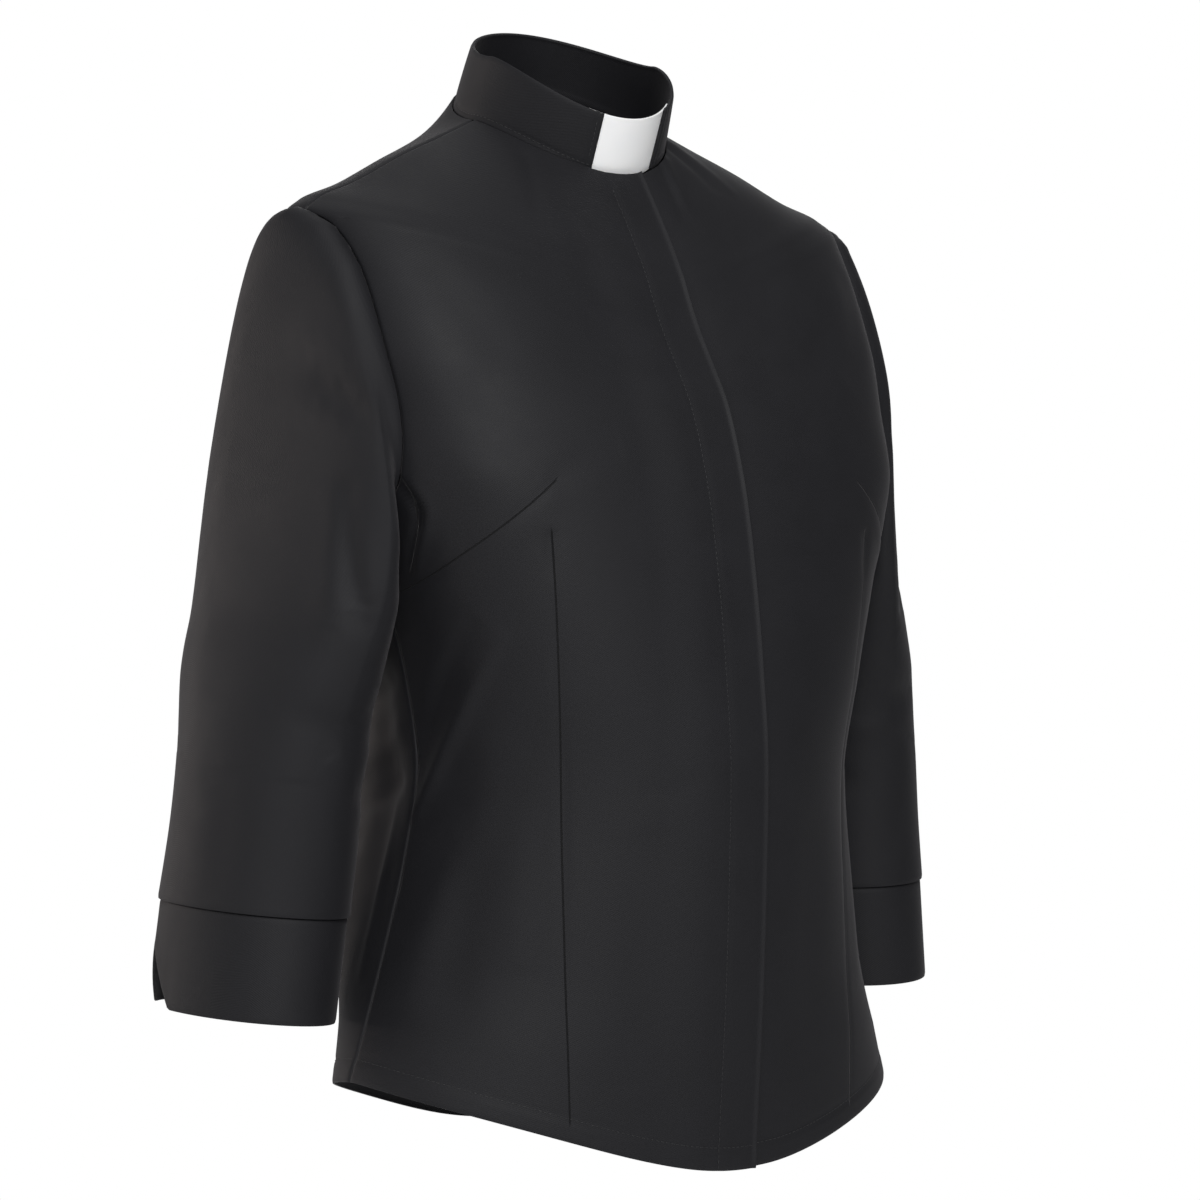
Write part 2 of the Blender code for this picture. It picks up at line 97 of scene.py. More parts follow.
# Grooves and ridges along a line are a width and a height in metres; a height below 0 is a groove
cloth = {
    "thickness": 0.0013,
    "solidWall": 0.0015,
    "lapClearance": 0.0005,
    "hemDepth": 0.0135,
    "placketStitch": 0.027,
    "seam": (0.0012, -0.0009),
    "edge": (0.0012, -0.0004),
    "hemStitch": (0.0014, -0.0004),
    "hemFold": (0.003, 0.00035),
}

# Steps across a grid from each of its edges inwards; the last one starts the even steps
edgeSteps = {
    "hem": (0.0, 0.014, 0.035, 0.06, 0.09),
    "panel": (0.0, 0.003, 0.0065, 0.0105, 0.0155, 0.022),
    "collarEnd": (0.0, 0.0015, 0.0035, 0.006, 0.009),
    "collarEdge": (0.0, 0.02, 0.045, 0.08),
    "narrow": (0.0, 0.012, 0.03, 0.06),
}
normalSteps = {"angle": 0.5, "place": 0.01, "margin": 0.02}
taperPowers = {"both": 0.7, "end": 0.6}
tiny = 1e-12


# Numbers along a table of rows, on a smooth curve with no overshoot

def slopeBetween(before, after):
    together = before * after
    total = np.where(np.abs(before + after) < tiny, 1.0, before + after)
    return np.where(together > 0.0, 2.0 * together / total, 0.0)


def columnAt(values, place):
    values = np.asarray(values, dtype=float)
    last = len(values) - 1
    place = np.clip(np.asarray(place, dtype=float), 0.0, last)
    low = np.minimum(place.astype(int), last - 1)
    t = place - low
    before = values[np.maximum(low - 1, 0)]
    start = values[low]
    end = values[low + 1]
    after = values[np.minimum(low + 2, last)]
    slopeStart = slopeBetween(start - before, end - start)
    slopeEnd = slopeBetween(end - start, after - end)
    return (
        start * (1 + 2 * t) * (1 - t) ** 2
        + slopeStart * t * (1 - t) ** 2
        + end * t * t * (3 - 2 * t)
        + slopeEnd * t * t * (t - 1)
    )


def sectionAt(rows, columns, place):
    return {key: columnAt([row[k] for row in rows], place) for k, key in enumerate(columns)}


def smoothStep(t):
    t = np.clip(t, 0.0, 1.0)
    return t * t * (3.0 - 2.0 * t)


def unit(vectors):
    return vectors / np.linalg.norm(vectors, axis=-1, keepdims=True)


def ridge(distance, width, height):
    return height * np.exp(-(distance / width) ** 2)


def sampleAt(at, along, values):  # each column of values, read at places along their rows
    return np.stack([np.interp(at, along, values[:, k]) for k in range(values.shape[1])], axis=-1)


def edgedShares(count, edge):  # even steps from 0 to 1, with finer ones at both ends
    fine = np.array(edgeSteps[edge])
    middle = np.linspace(fine[-1], 1.0 - fine[-1], count)
    return np.concatenate([fine[:-1], middle, 1.0 - fine[-2::-1]])


# The body's surface

def ringPoint(section, side, angle):
    turn = np.radians(angle)
    front = np.cos(turn) >= 0
    frontDepth = section["ySide"] - section["yFront"]
    backDepth = section["yBack"] - section["ySide"]
    depth = np.where(front, frontDepth, backDepth)
    square = np.where(front, section["squareFront"], section["squareBack"])
    endHeight = np.where(front, section["zFront"], section["zBack"])
    along = np.abs(np.cos(turn))
    across = np.abs(np.sin(turn))
    reach = ((along / depth) ** square + (across / section["half"]) ** square) ** (-1.0 / square)
    height = section["zSide"] + (endHeight - section["zSide"]) * along ** heightPower
    return np.stack(np.broadcast_arrays(
        side * reach * np.sin(turn),
        section["ySide"] - reach * np.cos(turn),
        height,
    ), axis=-1)


def largeFoldHeight(side, angle, place):
    height = np.zeros(np.broadcast(side, angle, place).shape)
    for foldSide, placeLow, angleLow, placeHigh, angleHigh, width, depth in largeFolds:
        t = (place - placeLow) / (placeHigh - placeLow)
        middle = angleLow + (angleHigh - angleLow) * t
        strength = np.where((t > 0) & (t < 1), np.sin(np.pi * np.clip(t, 0, 1)), 0.0)
        strength = np.where(side == foldSide, strength, 0.0)
        height = height + depth * strength * np.exp(-((angle - middle) / width) ** 2)
    return height


def bodyPoint(side, angle, place):
    section = sectionAt(bodyRows, bodyColumns, place)
    point = ringPoint(section, side, angle)
    middle = point.copy()
    middle[..., 0] = 0.0
    middle[..., 1] = section["ySide"]
    return point + unit(point - middle) * largeFoldHeight(side, angle, place)[..., None]


def bodyNormal(side, angle, place):
    turn, rise, margin = (normalSteps[key] for key in ("angle", "place", "margin"))
    place = np.clip(place, margin, neckPlace - margin)
    around = bodyPoint(side, angle + turn, place) - bodyPoint(side, angle - turn, place)
    upward = bodyPoint(side, angle, place + rise) - bodyPoint(side, angle, place - rise)
    return unit(np.cross(around, upward)) * np.asarray(side)[..., None]


def panelEdge(place, toFront):  # the angle where a front or the back ends
    u = np.clip((place - armholeMiddle) / armholeHalf, -1.0, 1.0)
    spread = armhole["shoulderAngle"] - armhole["underarmAngle"]
    line = armhole["underarmAngle"] + spread * (u + 1.0) / 2.0
    arch = np.sqrt(np.maximum(0.0, 1.0 - u * u))
    if toFront:
        return line - (armhole["reachFront"] - armhole["lean"] * u) * arch
    return line + armhole["reachBack"] * arch


def armholePlaces(count):
    return armholeMiddle - armholeHalf * np.cos(np.pi * np.arange(count + 1) / count)


def bodyPlaces(hemSteps, armholeSteps, shoulderSteps):
    edge = np.array(edgeSteps["hem"])
    below = np.linspace(edge[-1], underarmPlace, hemSteps)
    above = np.linspace(shoulderPlace, neckPlace, shoulderSteps + 1)[1:]
    return np.concatenate([edge[:-1], below[:-1], armholePlaces(armholeSteps), above])


# Creases: each is a path over a surface, with a width and a height in metres

def pathAlong(knots, surface, count=28):
    knots = np.array(knots, dtype=float)
    at = np.linspace(0.0, len(knots) - 1.0, count)
    return surface(columnAt(knots[:, 0], at), columnAt(knots[:, 1], at))


def creaseHeight(points, path, width, height, taper):
    # how far the points move along their normals: a ridge is above 0, a trough below
    best = np.full(points.shape[:-1], np.inf)
    where = np.zeros(points.shape[:-1])
    steps = len(path) - 1
    for k in range(steps):
        run = path[k + 1] - path[k]
        t = np.clip(((points - path[k]) @ run) / (run @ run), 0.0, 1.0)
        away = np.linalg.norm(points - path[k] - t[..., None] * run, axis=-1)
        nearer = away < best
        best = np.where(nearer, away, best)
        where = np.where(nearer, (k + t) / steps, where)
    strength = np.ones_like(where)
    if taper == "both":  # fades out at both ends
        strength = np.sin(np.pi * where) ** taperPowers["both"]
    if taper == "end":  # full at its start, fades out at its end
        strength = np.cos(np.pi / 2 * where) ** taperPowers["end"]
    return strength * ridge(best, width, height)


def addCreases(height, base, surface, creases, count=28):
    for knots, *shape in creases:
        height += creaseHeight(base, pathAlong(knots, surface, count), *shape)


def lengthsAlong(points, axis):  # distance from the first row or column of a grid
    steps = np.linalg.norm(np.diff(points, axis=axis), axis=-1)
    start = np.zeros_like(np.take(steps, [0], axis=axis))
    return np.concatenate([start, np.cumsum(steps, axis=axis)], axis=axis)


def gridNormals(points, closed=False):
    if closed:
        around = np.roll(points, -1, axis=1) - np.roll(points, 1, axis=1)
    else:
        around = np.gradient(points, axis=1)
    return unit(np.cross(around, np.gradient(points, axis=0)))


# Meshes

def sheetFromGrid(name, points, uv, closed=False, thickness=None):
    rows, columns = points.shape[:2]
    steps = columns if closed else columns - 1
    r, c = np.meshgrid(np.arange(rows - 1), np.arange(steps), indexing="ij")
    a = r * columns + c
    b = r * columns + (c + 1) % columns
    faces = np.stack([a, b, b + columns, a + columns], axis=-1).reshape(-1, 4)
    uvFlat = uv.reshape(-1, 2)
    uvFaces = uvFlat[faces].copy()
    if closed:  # the last column of faces joins the first one, so its far side goes on
        last = (c.reshape(-1) == columns - 1)
        width = uv[:, -1, 0] + (uv[:, -1, 0] - uv[:, -2, 0])
        uvFaces[last, 1, 0] = width[r.reshape(-1)[last]]
        uvFaces[last, 2, 0] = width[r.reshape(-1)[last] + 1]
    mesh = bpy.data.meshes.new(name)
    mesh.from_pydata(points.reshape(-1, 3).tolist(), [], faces.tolist())
    layer = mesh.uv_layers.new(name="UVMap")
    layer.data.foreach_set("uv", uvFaces.reshape(-1))
    piece = bpy.data.objects.new(name, mesh)
    bpy.context.scene.collection.objects.link(piece)
    useOnly(piece)
    piece.modifiers.new("thickness", "SOLIDIFY")
    piece.modifiers["thickness"].thickness = thickness or cloth["thickness"]
    piece.modifiers["thickness"].offset = -1.0
    bpy.ops.object.modifier_apply(modifier="thickness")
    bpy.ops.object.shade_smooth()
    return piece


def useOnly(piece):
    bpy.ops.object.select_all(action="DESELECT")
    piece.select_set(True)
    bpy.context.view_layer.objects.active = piece


def dressPiece(piece, material, slot, *nodes):
    piece.data.materials.clear()
    piece.data.materials.append(material)
    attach(piece, "root")
    if nodes:
        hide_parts(*nodes)


# Materials. Bump heights are in millimetres, as the distance of the bump is one.

bumpDistance = 0.001


def linearColor(hexValue):
    channels = [int(hexValue[k:k + 2], 16) / 255.0 for k in (1, 3, 5)]
    return [c / 12.92 if c <= 0.04045 else ((c + 0.055) / 1.055) ** 2.4 for c in channels] + [1.0]


def addNode(tree, kind, settings=None, inputs=None):
    # settings are the node's own; inputs go by name or number, each a value or a socket to link
    node = tree.nodes.new(kind)
    for key, value in (settings or {}).items():
        setattr(node, key, value)
    for key, value in (inputs or {}).items():
        if isinstance(value, bpy.types.NodeSocket):
            tree.links.new(value, node.inputs[key])
        else:
            node.inputs[key].default_value = value
    return node


def newMaterial(name, look):
    material = bpy.data.materials.new(name)
    material.use_nodes = True
    shader = material.node_tree.nodes["Principled BSDF"]
    for key, value in look.items():
        shader.inputs[key].default_value = value
    return material, material.node_tree, shader


creaseLineFade = {"before": -0.001, "after": 0.003, "end": 0.006}


def creaseLine(tree, uv, start, end, bend, twist, halfWidth):
    # 1 along a gently bent line between two points of the UV map, in metres, and 0 away from it
    run = (end[0] - start[0], end[1] - start[1])
    length = math.hypot(*run)
    place = addNode(tree, "ShaderNodeMapping", {"vector_type": "TEXTURE"}, {
        "Vector": uv,
        "Location": (start[0], start[1], 0.0),
        "Rotation": (0.0, 0.0, math.atan2(run[1], run[0])),
    })
    axes = addNode(tree, "ShaderNodeSeparateXYZ", None, {0: place.outputs[0]})
    along, aside = axes.outputs[0], axes.outputs[1]
    left = addNode(tree, "ShaderNodeMath", {"operation": "SUBTRACT"}, {0: length, 1: along})
    bow = addNode(tree, "ShaderNodeMath", {"operation": "MULTIPLY"}, {0: along, 1: left.outputs[0]})
    slant = addNode(tree, "ShaderNodeMath", {"operation": "MULTIPLY_ADD"}, {
        0: along, 1: -twist, 2: bend + twist * length / 2.0,
    })
    bent = addNode(tree, "ShaderNodeMath", {"operation": "MULTIPLY"}, {
        0: bow.outputs[0], 1: slant.outputs[0],
    })
    offset = addNode(tree, "ShaderNodeMath", {"operation": "SUBTRACT"}, {0: aside, 1: bent.outputs[0]})
    away = addNode(tree, "ShaderNodeMath", {"operation": "ABSOLUTE"}, {0: offset.outputs[0]})
    smooth = {"interpolation_type": "SMOOTHSTEP"}
    across = addNode(tree, "ShaderNodeMapRange", smooth, {
        "Value": away.outputs[0], "From Min": 0.0, "From Max": halfWidth, "To Min": 1.0, "To Max": 0.0,
    })
    opens = addNode(tree, "ShaderNodeMapRange", smooth, {
        "Value": along, "From Min": creaseLineFade["before"], "From Max": creaseLineFade["after"],
    })
    closes = addNode(tree, "ShaderNodeMapRange", smooth, {
        "Value": along, "From Min": length - creaseLineFade["end"], "From Max": length,
        "To Min": 1.0, "To Max": 0.0,
    })
    window = addNode(tree, "ShaderNodeMath", {"operation": "MULTIPLY"}, {
        0: opens.outputs[0], 1: closes.outputs[0],
    })
    return addNode(tree, "ShaderNodeMath", {"operation": "MULTIPLY"}, {
        0: across.outputs[0], 1: window.outputs[0],
    }).outputs[0]


suiting = {
    "light": "#1f1f23",
    "dark": "#09090b",
    # painted shade for the dart and tuck creases: the near-black that their lines are mixed towards, and
    # how far
    "dartShadow": "#030303",
    "dartShadowShare": 0.8,
    "look": {
        "Metallic": 0.0, "IOR": 1.34, "Sheen Weight": 0.10, "Sheen Roughness": 0.35,
        "Sheen Tint": linearColor("#d3d0d4"),
    },
    "roughest": 0.72,
    "smoothest": 0.55,
    "twillSpacing": 0.0010,
    "twillTurn": 58.0,
    "twillWaver": {"Distortion": 1.2, "Detail": 2.0, "Detail Scale": 1.5},
    "twillHeight": 0.045,
    "yarns": {"Scale": 1100.0, "Detail": 3.0, "Roughness": 0.70},  # a slub every 0.9 mm
    "clouds": {"Scale": 28.0, "Detail": 4.0, "Roughness": 0.6},  # a pressed patch every 36 mm
    "yarnHeight": 0.060,
    "yarnShade": 0.8,
    "cloudShade": 0.3,
}


def suitingTwill(name, lines=()):
    # Black polyester suiting, woven as a fine twill and pressed: a soft, slightly silky face.
    # Its twill lines lie 0.5 mm apart, and they are drawn 1.0 mm apart here to show at all.
    material, tree, shader = newMaterial(name, suiting["look"])
    uv = addNode(tree, "ShaderNodeTexCoord").outputs["UV"]
    turned = addNode(tree, "ShaderNodeMapping", None, {
        "Vector": uv, "Rotation": (0.0, 0.0, math.radians(suiting["twillTurn"])),
    })
    twill = addNode(tree, "ShaderNodeTexWave", {"wave_type": "BANDS", "bands_direction": "X"}, {
        "Vector": turned.outputs[0],
        "Scale": 2 * math.pi / 20.0 / suiting["twillSpacing"],  # at scale 1 the bands lie 2 pi / 20 apart
        **suiting["twillWaver"],
    })
    yarns = addNode(tree, "ShaderNodeTexNoise", None, {"Vector": uv, **suiting["yarns"]}).outputs[0]
    clouds = addNode(tree, "ShaderNodeTexNoise", None, {"Vector": uv, **suiting["clouds"]}).outputs[0]
    cloudy = addNode(tree, "ShaderNodeMath", {"operation": "MULTIPLY"}, {
        0: clouds, 1: suiting["cloudShade"],
    })
    shade = addNode(tree, "ShaderNodeMath", {"operation": "MULTIPLY_ADD"}, {
        0: yarns, 1: suiting["yarnShade"], 2: cloudy.outputs[0],
    })
    color = addNode(tree, "ShaderNodeMix", {"data_type": "RGBA"}, {
        "Factor": shade.outputs[0], 6: linearColor(suiting["dark"]), 7: linearColor(suiting["light"]),
    })
    raised = addNode(tree, "ShaderNodeMath", {"operation": "MULTIPLY"}, {
        0: yarns, 1: suiting["yarnHeight"],
    })
    height = addNode(tree, "ShaderNodeMath", {"operation": "MULTIPLY_ADD"}, {
        0: twill.outputs["Fac"], 1: suiting["twillHeight"], 2: raised.outputs[0],
    })
    # along each dart's seam and the underarm tuck the bump sinks a groove, and the colour is mixed towards
    # dartShadow: painted shade in the crease
    for start, end, bend, twist, halfWidth, depth in lines:
        line = creaseLine(tree, uv, start, end, bend, twist, halfWidth)
        height = addNode(tree, "ShaderNodeMath", {"operation": "MULTIPLY_ADD"}, {
            0: line, 1: -depth / bumpDistance, 2: height.outputs[0],
        })
        shadow = addNode(tree, "ShaderNodeMath", {"operation": "MULTIPLY"}, {
            0: line, 1: suiting["dartShadowShare"],
        })
        color = addNode(tree, "ShaderNodeMix", {"data_type": "RGBA"}, {
            "Factor": shadow.outputs[0], 6: color.outputs[2], 7: linearColor(suiting["dartShadow"]),
        })
    rough = addNode(tree, "ShaderNodeMapRange", None, {
        "Value": clouds, "To Min": suiting["smoothest"], "To Max": suiting["roughest"],
    })
    bump = addNode(tree, "ShaderNodeBump", None, {
        "Strength": 1.0, "Distance": bumpDistance, "Height": height.outputs[0],
    })
    tree.links.new(color.outputs[2], shader.inputs["Base Color"])
    tree.links.new(rough.outputs[0], shader.inputs["Roughness"])
    tree.links.new(bump.outputs[0], shader.inputs["Normal"])
    return material


threadLook = {
    "light": "#29292c",
    "dark": "#151517",
    "look": {"Roughness": 0.55, "Sheen Weight": 0.10},
    "plies": {"Scale": 900.0, "Detail": 2.0},  # a twist every 1.1 mm
}


def polyesterThread():
    # Black spun polyester sewing thread, twisted and lock-stitched: a little glossier than the cloth
    material, tree, shader = newMaterial("polyester_thread", threadLook["look"])
    place = addNode(tree, "ShaderNodeTexCoord").outputs["Object"]
    plies = addNode(tree, "ShaderNodeTexNoise", None, {"Vector": place, **threadLook["plies"]})
    color = addNode(tree, "ShaderNodeMix", {"data_type": "RGBA"}, {
        "Factor": plies.outputs[0],
        6: linearColor(threadLook["dark"]), 7: linearColor(threadLook["light"]),
    })
    tree.links.new(color.outputs[2], shader.inputs["Base Color"])
    return material


tabLook = {
    "light": "#ffffff",
    "dark": "#fafbfc",
    "look": {
        "IOR": 1.49, "Subsurface Weight": 0.08, "Subsurface Radius": (0.0015, 0.0014, 0.0012),
    },
    "roughest": 0.28,
    "smoothest": 0.18,
    "ripple": {"Scale": 60.0, "Detail": 2.0},  # a wave of the rollers every 17 mm
    "grain": {"Scale": 1800.0, "Detail": 2.0},  # fine grain every 0.6 mm
    "rippleHeight": 0.05,
    "grainHeight": 0.004,
}


def tabPlastic():
    # White polypropylene sheet, calendered smooth and bent: glossy, with a faint rolled ripple
    material, tree, shader = newMaterial("white_polypropylene_sheet", tabLook["look"])
    place = addNode(tree, "ShaderNodeTexCoord").outputs["Object"]
    ripple = addNode(tree, "ShaderNodeTexNoise", None, {"Vector": place, **tabLook["ripple"]}).outputs[0]
    grain = addNode(tree, "ShaderNodeTexNoise", None, {"Vector": place, **tabLook["grain"]}).outputs[0]
    color = addNode(tree, "ShaderNodeMix", {"data_type": "RGBA"}, {
        "Factor": ripple, 6: linearColor(tabLook["dark"]), 7: linearColor(tabLook["light"]),
    })
    rough = addNode(tree, "ShaderNodeMapRange", None, {
        "Value": grain, "To Min": tabLook["smoothest"], "To Max": tabLook["roughest"],
    })
    fine = addNode(tree, "ShaderNodeMath", {"operation": "MULTIPLY"}, {
        0: grain, 1: tabLook["grainHeight"],
    })
    height = addNode(tree, "ShaderNodeMath", {"operation": "MULTIPLY_ADD"}, {
        0: ripple, 1: tabLook["rippleHeight"], 2: fine.outputs[0],
    })
    bump = addNode(tree, "ShaderNodeBump", None, {
        "Strength": 1.0, "Distance": bumpDistance, "Height": height.outputs[0],
    })
    tree.links.new(color.outputs[2], shader.inputs["Base Color"])
    tree.links.new(rough.outputs[0], shader.inputs["Roughness"])
    tree.links.new(bump.outputs[0], shader.inputs["Normal"])
    return material


plainCloth = suitingTwill("black_twill_suiting")
thread = polyesterThread()
print("cloth, thread and plastic made")


# Stitches: one is modelled and copied along each row

stitching = {
    "length": 0.0024,
    "step": 0.0032,
    "thick": 0.00042,
    "lift": 0.00008,
    "reach": 0.001,
    "segments": 6,
    "rings": 4,
}


def modelStitch():
    bpy.ops.object.select_all(action="DESELECT")
    bpy.ops.mesh.primitive_uv_sphere_add(
        segments=stitching["segments"], ring_count=stitching["rings"], radius=0.5,
    )
    stitch = bpy.context.active_object
    stitch.name = "oneStitch"
    bpy.ops.object.mode_set(mode="EDIT")
    bpy.ops.mesh.select_all(action="SELECT")
    bpy.ops.transform.rotate(value=math.pi / 2, orient_axis="Y", center_override=(0, 0, 0))
    bpy.ops.transform.resize(
        value=(stitching["length"], stitching["thick"], stitching["thick"]),
        center_override=(0, 0, 0),
    )
    bpy.ops.object.mode_set(mode="OBJECT")
    bpy.ops.object.shade_smooth()
    return stitch


def evenRow(points, normals):
    # places along a path, one for each stitch, with the way that the path runs there
    along = lengthsAlong(points, 0)
    at = np.arange(stitching["step"] / 2, along[-1], stitching["step"])
    reach = stitching["reach"]
    way = sampleAt(at + reach, along, points) - sampleAt(at - reach, along, points)
    return sampleAt(at, along, points), unit(way), unit(sampleAt(at, along, normals))


def sewRows(name, stitch, rows):
    copies = []
    for points, normals in rows:
        for place, way, normal in zip(*evenRow(points, normals)):
            across = unit(np.cross(normal, way))
            upward = np.cross(way, across)
            centre = place + upward * stitching["lift"]
            turn = Matrix([
                [way[k], across[k], upward[k], centre[k]] for k in range(3)
            ] + [[0, 0, 0, 1]])
            copy = stitch.copy()
            copy.data = stitch.data.copy()
            copy.data.transform(turn)
            bpy.context.scene.collection.objects.link(copy)
            copies.append(copy)
    bpy.ops.object.select_all(action="DESELECT")
    for copy in copies:
        copy.select_set(True)
    bpy.context.view_layer.objects.active = copies[0]
    bpy.ops.object.join()
    joined = bpy.context.active_object
    joined.name = name
    joined.data.name = name
    dressPiece(joined, thread, "suiting_cloth")
    return joined


oneStitch = modelStitch()


# Fronts

frontPanel = {
    "columns": 96,
    "rows": (112, 62, 46),
    "lap": {-1: 0.015, 1: 0.012},
    "lapFade": (0.055, 0.022),
    "bustDart": ((88.5, 6.06), (80.9, 6.15), (69.2, 6.36), (58.9, 6.69), (49.9, 7.16), (42.2, 7.77)),
    "waistDart": (
        (45.0, 6.84), (46.9, 5.86), (48.1, 4.94), (48.7, 4.12), (48.4, 3.1), (47.4, 2.12),
        (46.1, 1.06), (45.4, 0.33),
    ),
    "dartLine": (0.0007, 0.00055),
    "tuck": {
        -1: ((74.5, 7.95), (71.5, 7.65), (70, 7.3), (71, 7.05), (75, 6.65), (79, 6.3)),
        1: ((75.5, 7.8), (73, 7.5), (72, 7.2), (73, 6.9), (77, 6.5)),
    },
    # width, height and taper along the path of each dart and of the tuck at the underarm
    "dartShapes": {
        "bustDart": (0.0035, -0.0008, "end"),
        "underBust": (0.008, 0.0009, "end"),
        "waistDart": (0.0032, -0.0006, "both"),
        "waistTop": (0.0045, -0.0009, "both"),
        "tuck": (0.0030, -0.0024, "both"),
        "besideTuck": (0.0034, 0.0016, "both"),
    },
    "underBustDrop": 0.009,
    "waistTopSteps": 4,
    "besideTuckTurn": 2.6,
    "placket": {
        "stitch": (0.0014, -0.0002),
        "fold": (0.005, 0.0002),
        "edge": (0.0012, -0.0005),
        "lift": (0.0016, 0.0018),
    },
    # the left front sinks beside the edge that laps over it: degrees, share of them, sink
    "underLap": {"turn": 6.0, "reach": (-1.0, 2.5), "sink": (1.1, -0.0013)},
    "warpAngle": 45.0,
    # path as (angle, place) pairs, width, height, and how it fades out
    "creases": {
        -1: (
            (((76, 8.2), (79, 7.4), (83, 6.6)), 0.005, -0.0026, "both"),
            (((42, 7.8), (36, 8.1), (28, 8.2)), 0.010, -0.0007, "end"),
            (((64, 11.2), (56, 10.4), (50, 9.6)), 0.012, -0.0010, "end"),
            (((89, 3.35), (86, 3.65), (80, 4.15), (70, 4.75), (58, 5.55)), 0.0060, 0.0030, "both"),
            (((90, 3.9), (84, 4.45), (75, 5.05), (64, 5.7)), 0.008, -0.0020, "both"),
            (((90, 2.6), (84, 2.75), (75, 3.2)), 0.010, -0.0008, "end"),
            (((58, 1.9), (60, 3.0), (56, 4.2)), 0.014, 0.0010, "both"),
            (((12, 4.0), (22, 3.8), (30, 3.85)), 0.005, -0.0003, "both"),
            (((30, 0.9), (28, 2.2), (30, 3.4)), 0.016, -0.0009, "both"),
            (((52, 16.3), (46, 15.3), (44, 14.2)), 0.006, -0.0006, "end"),
            (((87, 12.05), (84, 11.95), (80, 12.0)), 0.0030, 0.0010, "end"),
        ),
        1: (
            (((77, 8.0), (80, 7.2), (84, 6.5)), 0.005, -0.0022, "both"),
            (((41, 7.7), (35, 8.1), (27, 8.4)), 0.011, -0.0006, "end"),
            (((65, 11.0), (57, 10.1), (49, 9.5)), 0.013, -0.0011, "end"),
            (((91, 3.6), (85, 4.0), (77, 4.5), (66, 4.9)), 0.0070, 0.0013, "end"),
            (((91, 4.3), (83, 4.8), (72, 5.2)), 0.009, -0.0010, "end"),
            (((90, 2.8), (82, 3.0), (74, 3.4)), 0.011, -0.0008, "end"),
            (((55, 1.6), (58, 2.8), (55, 3.9)), 0.013, 0.0011, "both"),
            (((44, 16.9), (36, 16.3), (30, 15.5)), 0.0045, 0.0013, "end"),
            (((37, 16.8), (29, 16.0), (24, 15.2)), 0.0045, -0.0013, "end"),
            (((60, 16.8), (56, 16.0), (52, 15.3)), 0.0045, -0.0010, "end"),
            (((68, 16.7), (63, 15.9), (58, 15.0)), 0.005, 0.0008, "end"),
            (((28, 1.0), (25, 2.4), (29, 3.6)), 0.017, -0.0008, "both"),
        ),
    },
}


def lapAngle(place, distance):
    section = sectionAt(bodyRows, bodyColumns, place)
    return np.degrees(np.arcsin(distance / (section["ySide"] - section["yFront"])))


def frontSheet(name, side):
    placeList = bodyPlaces(*frontPanel["rows"])
    shareList = edgedShares(frontPanel["columns"], "panel")
    places = placeList[:, None]
    start = -lapAngle(places, frontPanel["lap"][side])
    angles = start + (panelEdge(places, True) - start) * shareList[None, :]
    places = np.broadcast_to(places, angles.shape)
    base = bodyPoint(side, angles, places)
    normals = bodyNormal(side, angles, places)
    if side == -1:
        fadeFrom, fadeTo = frontPanel["lapFade"]
        fade = smoothStep((fadeFrom - side * base[..., 0]) / (fadeFrom - fadeTo))
        base = base + normals * (fade * (cloth["solidWall"] + cloth["lapClearance"]))[..., None]
    fromLap = lengthsAlong(base, 1)
    toSide = fromLap[:, -1:] - fromLap
    fromHem = lengthsAlong(base, 0)
    surface = lambda a, p: bodyPoint(side, a, p)
    height = ridge(toSide, *cloth["seam"])
    height += placketHeight(fromLap) if side == -1 else underLapHeight(placeList, angles)
    height += hemHeight(fromHem)
    addCreases(height, base, surface, frontPanel["creases"][side])
    for key, path in dartPaths(side, surface).items():
        height += creaseHeight(base, path, *frontPanel["dartShapes"][key])
    points = base + normals * height[..., None]
    centre = [np.interp(0.0, turns, lengths) for turns, lengths in zip(angles, fromLap)]
    u = fromLap - np.array(centre)[:, None]
    uv = np.stack([side * u, risingWith(placeList, side, frontPanel["warpAngle"], u)], axis=-1)
    edges = panelEdge(placeList, True)
    starts = -lapAngle(placeList, frontPanel["lap"][side])

    def shareOf(angle, place):
        first = np.interp(place, placeList, starts)
        return (angle - first) / (np.interp(place, placeList, edges) - first)

    darts = (frontPanel["bustDart"], frontPanel["waistDart"], frontPanel["tuck"][side])
    lines = dartLines(uv, placeList, shareList, shareOf, darts)
    if side == -1:  # turned round, so that the faces point outwards
        points, uv, fromHem, fromLap = (grid[:, ::-1] for grid in (points, uv, fromHem, fromLap))
    piece = sheetFromGrid(name, points, uv)
    dressPiece(piece, suitingTwill(name + "_twill_suiting", lines), "suiting_cloth", name)
    rows = [lineAt(points, fromHem, cloth["hemDepth"])]
    if side == -1:
        rows.append(lineAt(points, fromLap, cloth["placketStitch"], upward=True, trim=(4, -6)))
    return piece, rows


def dartPaths(side, surface):
    bust = pathAlong(frontPanel["bustDart"], surface)
    waist = pathAlong(frontPanel["waistDart"], surface)
    tuck = frontPanel["tuck"][side]
    beside = [(angle - frontPanel["besideTuckTurn"], place) for angle, place in tuck]
    return {
        "bustDart": bust,
        "underBust": bust - np.array((0, 0, frontPanel["underBustDrop"])),
        "waistDart": waist,
        "waistTop": waist[:frontPanel["waistTopSteps"]],
        "tuck": pathAlong(tuck, surface),
        "besideTuck": pathAlong(beside, surface),
    }


def turnedEdge(distance, depth, stitch, fold):
    # an edge folded under as far as depth: its line of stitches sinks, and the fold stands proud
    width, height = fold
    return ridge(distance - depth, *stitch) + height * smoothStep((depth - distance) / width)


def hemHeight(fromHem):
    turned = turnedEdge(fromHem, cloth["hemDepth"], cloth["hemStitch"], cloth["hemFold"])
    return turned + ridge(fromHem, *cloth["edge"])


